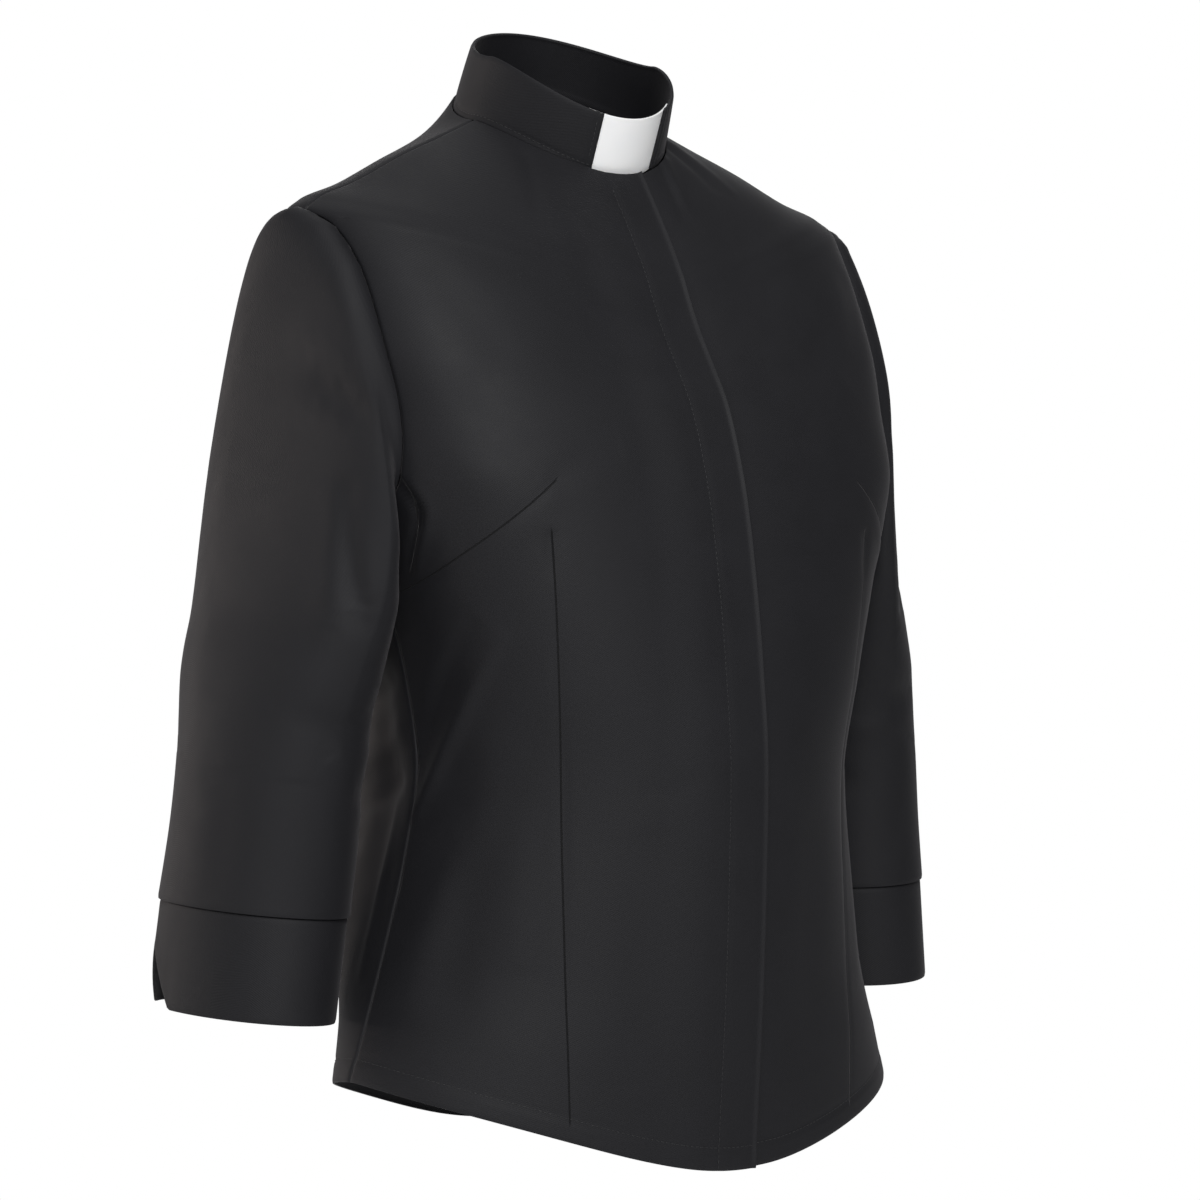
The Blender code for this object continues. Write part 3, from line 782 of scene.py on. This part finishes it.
def placketHeight(fromLap):
    shape = frontPanel["placket"]
    turned = turnedEdge(fromLap, cloth["placketStitch"], shape["stitch"], shape["fold"])
    return turned + ridge(fromLap, *shape["edge"]) + ridge(fromLap, *shape["lift"])


def underLapHeight(placeList, angles):
    shape = frontPanel["underLap"]
    edge = lapAngle(placeList[:, None], frontPanel["lap"][-1])
    return ridge(np.clip((angles - edge) / shape["turn"], *shape["reach"]), *shape["sink"])


def dartLines(uv, placeList, shareList, shareOf, darts, count=25):
    # one bent line in the UV map for each dart's seam
    lines = []
    for knots in darts:
        found = pathAlong(knots, lambda angle, place: gridValue(
            uv,
            np.interp(place, placeList, np.arange(len(placeList))),
            np.interp(shareOf(angle, place), shareList, np.arange(len(shareList))),
        ), count)
        run = found[-1] - found[0]
        length = np.linalg.norm(run)
        along = (found - found[0]) @ run / length
        aside = (found - found[0]) @ np.array((-run[1], run[0])) / length
        bow = along * (length - along)
        shapes = np.stack([bow, bow * (length / 2.0 - along)], axis=1)
        bend, twist = np.linalg.lstsq(shapes, aside, rcond=None)[0]
        lines.append((found[0], found[-1], float(bend), float(twist), *frontPanel["dartLine"]))
    return lines


def risingWith(placeList, side, angle, like):
    # the height of each row above the hem, measured along one line up the panel
    track = bodyPoint(side, np.full(len(placeList), angle), placeList)
    return np.broadcast_to(lengthsAlong(track, 0)[:, None], like.shape)


def gridValue(grid, row, column):
    low = np.minimum(row.astype(int), grid.shape[0] - 2)
    left = np.minimum(column.astype(int), grid.shape[1] - 2)
    t = (row - low)[:, None]
    s = (column - left)[:, None]
    near = grid[low, left] * (1 - s) + grid[low, left + 1] * s
    far = grid[low + 1, left] * (1 - s) + grid[low + 1, left + 1] * s
    return near * (1 - t) + far * t


def lineAt(points, distance, wanted, upward=False, trim=(2, -2)):
    # the line at a distance from the hem, or from an upright edge, and its normals
    grid = np.concatenate([points, gridNormals(points), distance[..., None]], axis=-1)
    found = []
    for track in grid if upward else grid.swapaxes(0, 1):
        track = track[np.argsort(track[:, -1])]
        found.append(sampleAt(wanted, track[:, -1], track[:, :-1]))
    found = np.array(found)[trim[0]:trim[1]]
    return found[:, :3], found[:, 3:]


rightFront, rightRows = frontSheet("right_front", -1)
rightStitches = sewRows("right_front_stitches", oneStitch, rightRows)
leftFront, leftRows = frontSheet("left_front", 1)
leftStitches = sewRows("left_front_stitches", oneStitch, leftRows)
print("fronts sewn")


# Back

backPanel = {
    "columns": 158,
    "rows": (112, 62, 46),
    "dart": ((150, 6.7), (150.5, 5.0), (151, 3.6), (151, 2.2), (150, 1.1)),
    "dartShape": (0.0032, -0.0007, "both"),
    "warpAngle": 135.0,
    "creases": {
        -1: (
            (((122, 9.4), (132, 8.6), (141, 8.2)), 0.011, -0.0014, "end"),
            (((118, 10.2), (130, 9.7), (142, 9.9)), 0.010, 0.0010, "end"),
            (((98, 3.6), (97.3, 3.2), (97.4, 2.7), (96.4, 2.1), (96.2, 1.5)), 0.0045, 0.0016, "both"),
            (((96, 5.0), (112, 4.7), (130, 4.9)), 0.007, -0.0013, "end"),
            (((97, 4.4), (115, 4.0), (136, 4.2)), 0.009, 0.0014, "end"),
            (((98, 3.8), (113, 3.5), (126, 3.7)), 0.006, -0.0014, "end"),
            (((160, 4.9), (170, 4.7), (178, 4.85)), 0.009, -0.0009, "both"),
            (((138, 1.0), (141, 2.2), (139, 3.3)), 0.013, 0.0012, "both"),
            (((168, 0.8), (166, 2.0), (169, 3.2)), 0.014, -0.0010, "both"),
            (((112, 3.1), (122, 2.6), (128, 1.9)), 0.008, -0.0012, "end"),
            (((150, 14.6), (158, 13.6), (163, 12.4)), 0.013, -0.0008, "both"),
        ),
        1: (
            (((121, 9.7), (133, 8.9), (143, 8.7)), 0.012, -0.0012, "end"),
            (((117, 10.6), (128, 10.2), (139, 10.3)), 0.010, 0.0009, "end"),
            (((98, 3.3), (97.5, 2.9), (97.2, 2.3), (96.6, 1.8)), 0.0050, 0.0013, "both"),
            (((96, 5.3), (110, 5.0), (124, 5.15)), 0.008, -0.0012, "end"),
            (((97, 4.6), (117, 4.3), (140, 4.5)), 0.008, 0.0013, "end"),
            (((97, 4.0), (111, 3.8), (131, 3.9)), 0.007, -0.0013, "end"),
            (((158, 4.2), (168, 4.05), (177, 4.2)), 0.008, 0.0008, "both"),
            (((135, 0.9), (137, 2.0), (136, 3.5)), 0.012, 0.0011, "both"),
            (((164, 0.9), (163, 2.3), (165, 3.6)), 0.015, -0.0010, "both"),
            (((148, 14.2), (157, 13.4), (161, 12.0)), 0.012, -0.0007, "both"),
        ),
    },
}


def backSheet():
    placeList = bodyPlaces(*backPanel["rows"])
    shareList = edgedShares(backPanel["columns"], "panel")
    places = placeList[:, None]
    across = shareList[None, :] * 2.0 - 1.0
    sides = np.where(across < 0, -1, 1)
    angles = 180.0 - (180.0 - panelEdge(places, False)) * np.abs(across)
    places = np.broadcast_to(places, angles.shape)
    sides = np.broadcast_to(sides, angles.shape)
    base = bodyPoint(sides, angles, places)
    normals = bodyNormal(sides, angles, places)
    fromRight = lengthsAlong(base, 1)
    toEdge = np.minimum(fromRight, fromRight[:, -1:] - fromRight)
    fromHem = lengthsAlong(base, 0)
    height = ridge(toEdge, *cloth["seam"]) + hemHeight(fromHem)
    for side in (-1, 1):
        surface = lambda a, p: bodyPoint(side, a, p)
        addCreases(height, base, surface, backPanel["creases"][side])
        dartPath = pathAlong(backPanel["dart"], surface)
        height += creaseHeight(base, dartPath, *backPanel["dartShape"])
    points = base + normals * height[..., None]
    middle = points.shape[1] // 2
    u = fromRight[:, middle:middle + 1] - fromRight
    uv = np.stack([u, risingWith(placeList, 1, backPanel["warpAngle"], u)], axis=-1)
    edges = panelEdge(placeList, False)
    lines = []
    for side in (-1, 1):
        def shareOf(angle, place):
            reach = 180.0 - np.interp(place, placeList, edges)
            return (1.0 + side * (180.0 - angle) / reach) / 2.0

        lines += dartLines(uv, placeList, shareList, shareOf, (backPanel["dart"],))
    points, uv, fromHem = (grid[:, ::-1] for grid in (points, uv, fromHem))
    piece = sheetFromGrid("back", points, uv)
    dressPiece(piece, suitingTwill("back_twill_suiting", lines), "suiting_cloth", "back")
    return piece, [lineAt(points, fromHem, cloth["hemDepth"])]


backPiece, backRows = backSheet()
backStitches = sewRows("back_stitches", oneStitch, backRows)
print("back sewn")


# Sleeves and cuffs

sleeveColumns = ("z", "x", "y", "out", "in", "front", "back", "square", "lean")
sleeveRows = (
    (-0.295, 0.1892, 0.0054, 0.043, 0.0275, 0.092, 0.070, 2.8, 0.40),
    (-0.338, 0.1995, 0.0027, 0.0495, 0.037, 0.076, 0.067, 2.5, 0.20),
    (-0.380, 0.2052, 0.0034, 0.050, 0.045, 0.067, 0.064, 2.1, 0.05),
    (-0.425, 0.210, 0.006, 0.050, 0.049, 0.066, 0.064, 2.0, 0.0),
    (-0.470, 0.215, 0.009, 0.051, 0.050, 0.067, 0.065, 2.0, 0.0),
)
cuffRows = (
    (-0.4703, 0.215, 0.009, 0.0495, 0.0485, 0.0655, 0.0635, 2.0, 0.0),
    (-0.5315, 0.222, 0.010, 0.0475, 0.0475, 0.0650, 0.0630, 2.0, 0.0),
)
sleeve = {
    "columns": 132,
    "capSteps": 64,
    "armSteps": 104,
    "lift": 0.0020,
    "capShape": {
        "inwards": 0.20, "toFrontTop": 0.10, "up": 0.58, "downUnder": 0.45,
        "start": 0.004, "startTop": 0.037, "end": 0.007, "endTop": 0.097, "endBack": 0.015,
    },
    "cuffTilt": 0.060,
    "leftRaise": 0.004,
    "raiseLength": 0.1,
    "joinReach": 14,
    "joinRounds": 60,
    # eased fullness at the shoulder: turn, share of the rows, height
    "puckers": (
        (-38, 0.07, 0.0006), (-29, 0.09, -0.0008), (-19, 0.10, 0.0009), (-9, 0.08, -0.0008),
        (2, 0.11, 0.0010), (12, 0.09, -0.0009), (21, 0.10, 0.0008), (32, 0.07, -0.0006),
        (41, 0.08, 0.0005),
    ),
    "puckerWidth": 0.0030,
    "puckerStart": 0.012,
    "puckerSteps": 8,
    "creaseSteps": 20,
    # the seam's ridge on the cap: its middle, its width, its height at the underarm and more on top
    "capRidge": {"middle": 0.005, "width": 0.0040, "under": 0.0001, "more": 0.0002},
    "capSinks": ((0.0150, 0.0019), (0.0013, 0.0006)),
    "capSpacing": 1.3,
    "lowEdge": (0.0012, -0.0003),
    "underSeam": (0.0030, -0.0007, "none"),
    "underSeamStep": 6,
    "seamSteps": 90,
    # path as (turn, share of the rows), width, height, and how it fades out
    "creases": {
        -1: (
            (((36, 0.246), (52, 0.238), (65, 0.232), (78, 0.230)), 0.0085, -0.0032, "both"),
            (((30, 0.215), (46, 0.205), (62, 0.195)), 0.010, 0.0012, "both"),
            (((60, 0.29), (67, 0.35), (76, 0.40), (88, 0.47)), 0.0065, -0.0030, "both"),
            (((54, 0.30), (58, 0.37), (64, 0.45)), 0.010, 0.0010, "both"),
            (((150, 0.20), (120, 0.34), (96, 0.45)), 0.010, -0.0018, "end"),
            (((160, 0.26), (140, 0.42), (128, 0.56)), 0.009, 0.0018, "end"),
            (((128, 0.60), (92, 0.63), (60, 0.61)), 0.009, -0.0016, "both"),
            (((150, 0.66), (112, 0.70), (84, 0.69)), 0.008, 0.0013, "both"),
            (((170, 0.72), (140, 0.76), (112, 0.77)), 0.008, -0.0013, "both"),
            (((225, 0.24), (240, 0.36), (262, 0.45)), 0.011, -0.0016, "end"),
            (((246, 0.62), (282, 0.60), (312, 0.64)), 0.012, 0.0013, "both"),
            (((330, 0.34), (340, 0.52), (338, 0.70)), 0.016, -0.0013, "both"),
            (((60, 0.30), (66, 0.50), (64, 0.74)), 0.018, 0.0012, "both"),
            (((20, 0.72), (26, 0.84), (24, 0.97)), 0.012, -0.0009, "both"),
        ),
        1: (
            (((40, 0.25), (56, 0.245), (70, 0.24)), 0.0090, -0.0028, "both"),
            (((63, 0.31), (69, 0.37), (76, 0.43)), 0.0070, -0.0026, "both"),
            (((148, 0.22), (118, 0.36), (98, 0.48)), 0.011, -0.0016, "end"),
            (((160, 0.28), (138, 0.45), (122, 0.58)), 0.010, 0.0016, "end"),
            (((120, 0.58), (88, 0.60), (64, 0.58)), 0.010, -0.0015, "both"),
            (((146, 0.64), (118, 0.67), (80, 0.66)), 0.008, 0.0014, "both"),
            (((168, 0.74), (138, 0.77), (118, 0.79)), 0.009, -0.0012, "both"),
            (((222, 0.26), (242, 0.38), (258, 0.50)), 0.011, -0.0015, "end"),
            (((250, 0.66), (286, 0.63), (306, 0.66)), 0.011, 0.0013, "both"),
            (((328, 0.38), (342, 0.55), (336, 0.74)), 0.015, -0.0012, "both"),
            (((52, 0.32), (58, 0.52), (60, 0.72)), 0.017, 0.0012, "both"),
        ),
    },
}
cuff = {
    "rows": 22,
    "notchTurn": 330.0,
    "notchHalf": 22.5,
    "notchHeight": 0.033,
    "topEdge": (0.0014, -0.0004),
    "wave": {"height": 0.0004, "count": 3, "turn": 40},
}


def tubePoint(row, side, turn):
    a = np.radians(turn)
    across = np.where(np.cos(a) >= 0, row["out"], row["in"])
    depth = np.where(np.sin(a) >= 0, row["front"], row["back"])
    square = np.where(np.cos(a) < 0, row["square"], 2.0)
    reach = (np.abs(np.cos(a)) ** square + np.abs(np.sin(a)) ** square) ** (-1.0 / square)
    outwards = across * reach * np.cos(a)
    return np.stack(np.broadcast_arrays(
        side * (row["x"] + outwards),
        row["y"] - depth * reach * np.sin(a) + row["lean"] * np.maximum(outwards, 0.0),
        row["z"],
    ), axis=-1)


def armholeEdge(side, count):
    # the armhole's seam, evenly spaced: shoulder, front, underarm, back
    rising = armholePlaces(sleeve["seamSteps"])
    loop = []
    for toFront, places in ((True, rising[::-1]), (False, rising)):
        angles = panelEdge(places, toFront)
        track = np.concatenate([bodyPoint(side, angles, places), bodyNormal(side, angles, places)], axis=1)
        along = lengthsAlong(track[:, :3], 0)
        loop.append(sampleAt(np.linspace(0.0, along[-1], count // 2 + 1)[:-1], along, track))
    return np.concatenate(loop)


def tiltAndRaise(points, side, share):
    low = sleeveRows[-1][1]
    tilt = sleeve["cuffTilt"] * (side * points[..., 0] - low + points[..., 1])
    points[..., 2] += share * tilt
    if side == 1:
        raised = np.clip((sleeveRows[0][0] - points[..., 2]) / sleeve["raiseLength"], 0.0, 1.0)
        points[..., 2] += sleeve["leftRaise"] * raised
    return points


def sleeveBase(side, turns):
    seam = armholeEdge(side, len(turns))
    shape = sleeve["capShape"]
    top = (1.0 + np.cos(np.radians(turns))) / 2.0
    t = (np.arange(sleeve["capSteps"] + 1) / sleeve["capSteps"]) ** sleeve["capSpacing"]
    t = t[:, None, None]
    start = seam[:, :3] + seam[:, 3:] * sleeve["lift"]
    first = sectionAt(sleeveRows, sleeveColumns, 0.0)
    second = sectionAt(sleeveRows, sleeveColumns, 1.0)
    end = tubePoint(first, side, turns)
    leave = unit(np.stack([
        np.full(len(turns), float(side)),
        shape["inwards"] * np.sin(np.radians(turns)) - shape["toFrontTop"] * top,
        shape["up"] - shape["downUnder"] * (1 - top),
    ], axis=1))
    bendStart = start + leave * (shape["start"] + shape["startTop"] * top)[:, None]
    rising = unit(end - tubePoint(second, side, turns))
    bendEnd = end + rising * (shape["end"] + shape["endTop"] * top)[:, None]
    bendEnd[:, 1] += shape["endBack"] * top
    cap = (
        (1 - t) ** 3 * start
        + 3 * (1 - t) ** 2 * t * bendStart
        + 3 * (1 - t) * t * t * bendEnd
        + t ** 3 * end
    )
    places = np.linspace(0.0, len(sleeveRows) - 1.0, sleeve["armSteps"] + 1)[1:, None]
    arm = tubePoint(sectionAt(sleeveRows, sleeveColumns, places), side, turns[None, :])
    points = np.concatenate([cap, arm])
    join = sleeve["capSteps"]
    for _ in range(sleeve["joinRounds"]):
        near = slice(join - sleeve["joinReach"], join + sleeve["joinReach"])
        before = np.roll(points, 1, axis=0)[near]
        after = np.roll(points, -1, axis=0)[near]
        points[near] = (before + 2.0 * points[near] + after) / 4.0
    high, low = sleeveRows[0][0], sleeveRows[-1][0]
    share = np.clip((high - points[..., 2]) / (high - low), 0.0, 1.0)
    return tiltAndRaise(points, side, share), seam


def facesOut(points):
    spokes = points - points.mean(axis=1, keepdims=True)
    return np.sum(gridNormals(points, closed=True) * spokes) > 0


def outwardNormals(points):
    normals = gridNormals(points, closed=True)
    return normals if facesOut(points) else -normals


def tubeSheet(name, base, normals, height, fromTop, sunk=0.0):
    points = base + normals * height[..., None] - sunk
    uv = np.stack([lengthsAlong(base, 1), -fromTop], axis=-1)
    if not facesOut(points):
        points = points[:, ::-1]
    piece = sheetFromGrid(name, points, uv, closed=True)
    dressPiece(piece, plainCloth, "suiting_cloth", name)
    return piece


def sleeveSheet(name, side, turns):
    base, seam = sleeveBase(side, turns)
    normals = outwardNormals(base)
    normals[0] = seam[:, 3:]
    fromSeam = lengthsAlong(base, 0)
    top = (1.0 + np.cos(np.radians(turns)))[None, :] / 2.0
    rows = base.shape[0] - 1

    def surface(turn, share):
        column = (turn / 360.0 * len(turns)).astype(int) % len(turns)
        return base[np.clip((share * rows).astype(int), 0, rows), column]

    cap = sleeve["capRidge"]
    height = ridge(fromSeam - cap["middle"], cap["width"], cap["under"] + cap["more"] * top)
    puckers = [
        ([(turn % 360, at) for at in (sleeve["puckerStart"], share / 2, share)],
         sleeve["puckerWidth"], depth, "end")
        for turn, share, depth in sleeve["puckers"]
    ]
    addCreases(height, base, surface, puckers, sleeve["puckerSteps"])
    height += ridge(fromSeam[-1:] - fromSeam, *sleeve["lowEdge"])
    addCreases(height, base, surface, sleeve["creases"][side], sleeve["creaseSteps"])
    underSeam = base[:, len(turns) // 2][::sleeve["underSeamStep"]]
    height += creaseHeight(base, underSeam, *sleeve["underSeam"])
    sink = sum(ridge(fromSeam, *shape) for shape in sleeve["capSinks"])
    return tubeSheet(name, base, normals, height, fromSeam, seam[None, :, 3:] * sink[..., None])


def cuffSheet(name, side, turns):
    t = edgedShares(cuff["rows"], "narrow")[:, None]
    section = {}
    for key, high, low in zip(sleeveColumns, *cuffRows):
        section[key] = high + (low - high) * t
    base = tubePoint(section, side, turns[None, :])
    notch = np.maximum(0.0, 1.0 - np.abs(turns - cuff["notchTurn"]) / cuff["notchHalf"])
    base = tiltAndRaise(base, side, 1.0)
    base[..., 2] += cuff["notchHeight"] * notch[None, :] * t
    fromTop = lengthsAlong(base, 0)
    height = ridge(fromTop, *cuff["topEdge"]) + ridge(fromTop[-1:] - fromTop, *cloth["edge"])
    wave = cuff["wave"]
    phase = np.radians(turns * wave["count"] + wave["turn"] * side)[None, :]
    height += wave["height"] * np.sin(phase) * smoothStep(t)
    return tubeSheet(name, base, outwardNormals(base), height, fromTop)


tubeTurns = 360.0 * np.arange(sleeve["columns"]) / sleeve["columns"]
for sideName, sideSign in (("right", -1), ("left", 1)):
    sleevePiece = sleeveSheet(sideName + "_sleeve", sideSign, tubeTurns)
    cuffPiece = cuffSheet(sideName + "_cuff", sideSign, tubeTurns)
print("sleeves and cuffs sewn")


# Collar and tab

collar = {
    "top": {
        "zFront": -0.0095, "zSide": 0.029, "zBack": 0.050, "half": 0.061,
        "yFront": -0.072, "ySide": -0.012, "yBack": 0.048, "squareFront": 2.0, "squareBack": 2.0,
    },
    "openRight": 18.5,
    "openLeft": 31.0,
    "tuck": 9.0,
    "columns": 230,
    "rows": 22,
    "wall": 0.0020,
    "gap": 0.0006,
    "low": -0.0286,
    "stitchHeight": 0.0042,
    "stitchEnd": 0.0035,
    "stitch": (0.0012, -0.0004),
    "endEdge": (0.001, -0.0005),
    "topEdge": (0.0011, -0.0005),
    "wave": {"height": 0.0003, "turns": 61.0, "start": 0.7},
}
tab = {"columns": 56, "rows": 20, "wall": 0.0009, "clearance": 0.0003, "low": -0.06, "high": 0.985}


def collarPoint(angle, share, inset):
    # on the band: angle is below 0 to the wearer's right, share 0 at the neck seam, 1 on top
    side = np.where(angle < 0, -1, 1)
    turn = np.abs(angle)
    neck = np.full(angle.shape, neckPlace)
    base = bodyPoint(side, turn, neck)
    inward = unit(base * np.array((-1.0, -1.0, 0.0)))
    slope = np.maximum(0.0, -np.sum(bodyNormal(side, turn, neck) * inward, axis=-1))
    base = base + inward * (slope * cloth["solidWall"] + collar["gap"])[..., None]
    rise = ringPoint(collar["top"], side, turn) - base
    point = base + rise * share[..., None]
    middle = np.zeros_like(point)
    middle[..., 1] = collar["top"]["ySide"] * share
    middle[..., 2] = point[..., 2]
    toward = middle - point
    along = np.sum(toward * rise, axis=-1) / np.sum(rise * rise, axis=-1)
    across = unit(toward - rise * along[..., None])
    return point + across * inset


def collarBand():
    start, end = collar["openLeft"], 360.0 - collar["openRight"]
    angles = start + (end - start) * edgedShares(collar["columns"], "collarEnd")
    angles = np.where(angles > 180.0, angles - 360.0, angles)
    low = collar["low"]
    heights = low + (1.0 - low) * edgedShares(collar["rows"], "collarEdge")
    angleGrid, shareGrid = np.meshgrid(angles, heights)
    base = collarPoint(angleGrid, shareGrid, 0.0)
    normals = gridNormals(base)
    if np.sum(normals * base * np.array((1.0, 1.0, 0.0))) < 0:
        normals = -normals
    fromBase = lengthsAlong(base, 0)
    fromStart = lengthsAlong(base, 1)
    toFinish = fromStart[:, -1:] - fromStart
    toEnd = np.minimum(fromStart, toFinish)
    height = ridge(fromBase - collar["stitchHeight"], *collar["stitch"])
    height += ridge(toEnd - collar["stitchEnd"], *collar["stitch"])
    height += ridge(toEnd, *collar["endEdge"]) + ridge(fromBase[-1:] - fromBase, *collar["topEdge"])
    wave = collar["wave"]
    swell = np.sin(fromStart * wave["turns"] + wave["start"]) * np.sin(np.pi * shareGrid.clip(0, 1))
    height += wave["height"] * swell
    points = base + normals * height[..., None]
    uv = np.stack([fromStart, fromBase], axis=-1)
    piece = sheetFromGrid("collar_stand", points, uv, thickness=collar["wall"])
    dressPiece(piece, plainCloth, "suiting_cloth", "collar_stand")
    rows = [lineAt(points, fromBase, collar["stitchHeight"])]
    for fromEnd in (fromStart, toFinish):
        rows.append(lineAt(points, fromEnd, collar["stitchEnd"], upward=True, trim=(7, -4)))
    return piece, rows


def collarTab():
    start = -collar["openRight"] - collar["tuck"]
    end = collar["openLeft"] + collar["tuck"]
    angles = np.linspace(start, end, tab["columns"])
    heights = tab["low"] + (tab["high"] - tab["low"]) * edgedShares(tab["rows"], "narrow")
    points = collarPoint(*np.meshgrid(angles, heights), collar["wall"] + tab["clearance"])
    uv = np.stack([lengthsAlong(points, 1), lengthsAlong(points, 0)], axis=-1)
    piece = sheetFromGrid("collar_tab", points, uv, thickness=tab["wall"])
    dressPiece(piece, tabPlastic(), "tab_plastic", "collar_tab")


band, bandRows = collarBand()
bandStitches = sewRows("collar_stitches", oneStitch, bandRows)
collarTab()
bpy.data.objects.remove(oneStitch, do_unlink=True)
print("collar and tab set")


# Studio

studio = {
    "cameraPlace": (-2.0635, -2.7773, -0.256),
    "cameraTurn": (math.radians(90 - 0.616), 0.0, math.radians(-37)),
    "lens": 173.0,
    "sensor": 36.0,
    "floorHeight": -1.25,
    "floorRadius": 4.5,
    "floorSides": 96,
    "paper": ("#f0f0f0", "#f4f4f4"),
    "paperRoughness": 0.9,
    "mottle": {"Scale": 3.0, "Detail": 3.0},  # a patch every 330 mm
    "backdrop": {"Color": (1.0, 1.0, 1.0, 1.0), "Strength": 1.0},
    "fillLight": {"Color": (1.0, 1.0, 1.0, 1.0), "Strength": 0.14},
    "lampsFace": (0.0, 0.0, -0.3),
    # name, place, size, power, colour
    "lamps": (
        ("key", (-1.25, -2.7, 1.6), 2.2, 112.0, "#ffffff"),
        ("low", (-1.6, -2.1, -0.9), 1.4, 2.0, "#ffffff"),
        ("backLeft", (-2.3, 1.2, 0.1), 1.3, 12.0, "#fffaf6"),
        ("top", (0.2, 0.6, 2.0), 1.4, 9.0, "#ffffff"),
        ("behindLeft", (-1.2, 2.3, 0.0), 1.0, 12.0, "#fff3ee"),
        ("behind", (1.9, 2.2, 0.9), 1.5, 9.0, "#ffffff"),
    ),
}


def setCamera():
    data = bpy.data.cameras.new("camera")
    data.lens = studio["lens"]
    data.sensor_width = studio["sensor"]
    camera = bpy.data.objects.new("camera", data)
    camera.location = studio["cameraPlace"]
    camera.rotation_euler = studio["cameraTurn"]
    bpy.context.scene.collection.objects.link(camera)
    bpy.context.scene.camera = camera
    bpy.context.scene.view_settings.view_transform = "Standard"


def hangLamps():
    for name, place, size, power, color in studio["lamps"]:
        data = bpy.data.lights.new(name, "AREA")
        data.size = size
        data.energy = power
        data.color = linearColor(color)[:3]
        lamp = bpy.data.objects.new(name, data)
        lamp.location = place
        way = Vector(studio["lampsFace"]) - Vector(place)
        lamp.rotation_euler = way.to_track_quat("-Z", "Y").to_euler()
        bpy.context.scene.collection.objects.link(lamp)


def setWorld():
    # the camera sees a white backdrop, and the shirt gets only a weak even light from it
    world = bpy.data.worlds.new("paleStudio")
    bpy.context.scene.world = world
    world.use_nodes = True
    tree = world.node_tree
    seen = tree.nodes["Background"]
    for key, value in studio["backdrop"].items():
        seen.inputs[key].default_value = value
    lit = addNode(tree, "ShaderNodeBackground", None, studio["fillLight"])
    ray = addNode(tree, "ShaderNodeLightPath")
    both = addNode(tree, "ShaderNodeMixShader", None, {
        0: ray.outputs["Is Camera Ray"], 1: lit.outputs[0], 2: seen.outputs[0],
    })
    tree.links.new(both.outputs[0], tree.nodes["World Output"].inputs["Surface"])


def layFloor():
    bpy.ops.mesh.primitive_circle_add(
        vertices=studio["floorSides"], radius=studio["floorRadius"], fill_type="NGON",
        location=(0.0, 0.0, studio["floorHeight"]),
    )
    floor = bpy.context.active_object
    floor.name = "floor"
    bpy.ops.object.transform_apply(location=True)
    # Matt white studio paper, rolled out and faintly mottled
    material, tree, shader = newMaterial("studio_paper", {"Roughness": studio["paperRoughness"]})
    place = addNode(tree, "ShaderNodeTexCoord").outputs["Object"]
    mottle = addNode(tree, "ShaderNodeTexNoise", None, {"Vector": place, **studio["mottle"]})
    dark, light = studio["paper"]
    color = addNode(tree, "ShaderNodeMix", {"data_type": "RGBA"}, {
        "Factor": mottle.outputs[0], 6: linearColor(dark), 7: linearColor(light),
    })
    tree.links.new(color.outputs[2], shader.inputs["Base Color"])
    floor.data.materials.append(material)


setCamera()
hangLamps()
setWorld()
layFloor()
print("studio set")

bpy.context.view_layer.update()
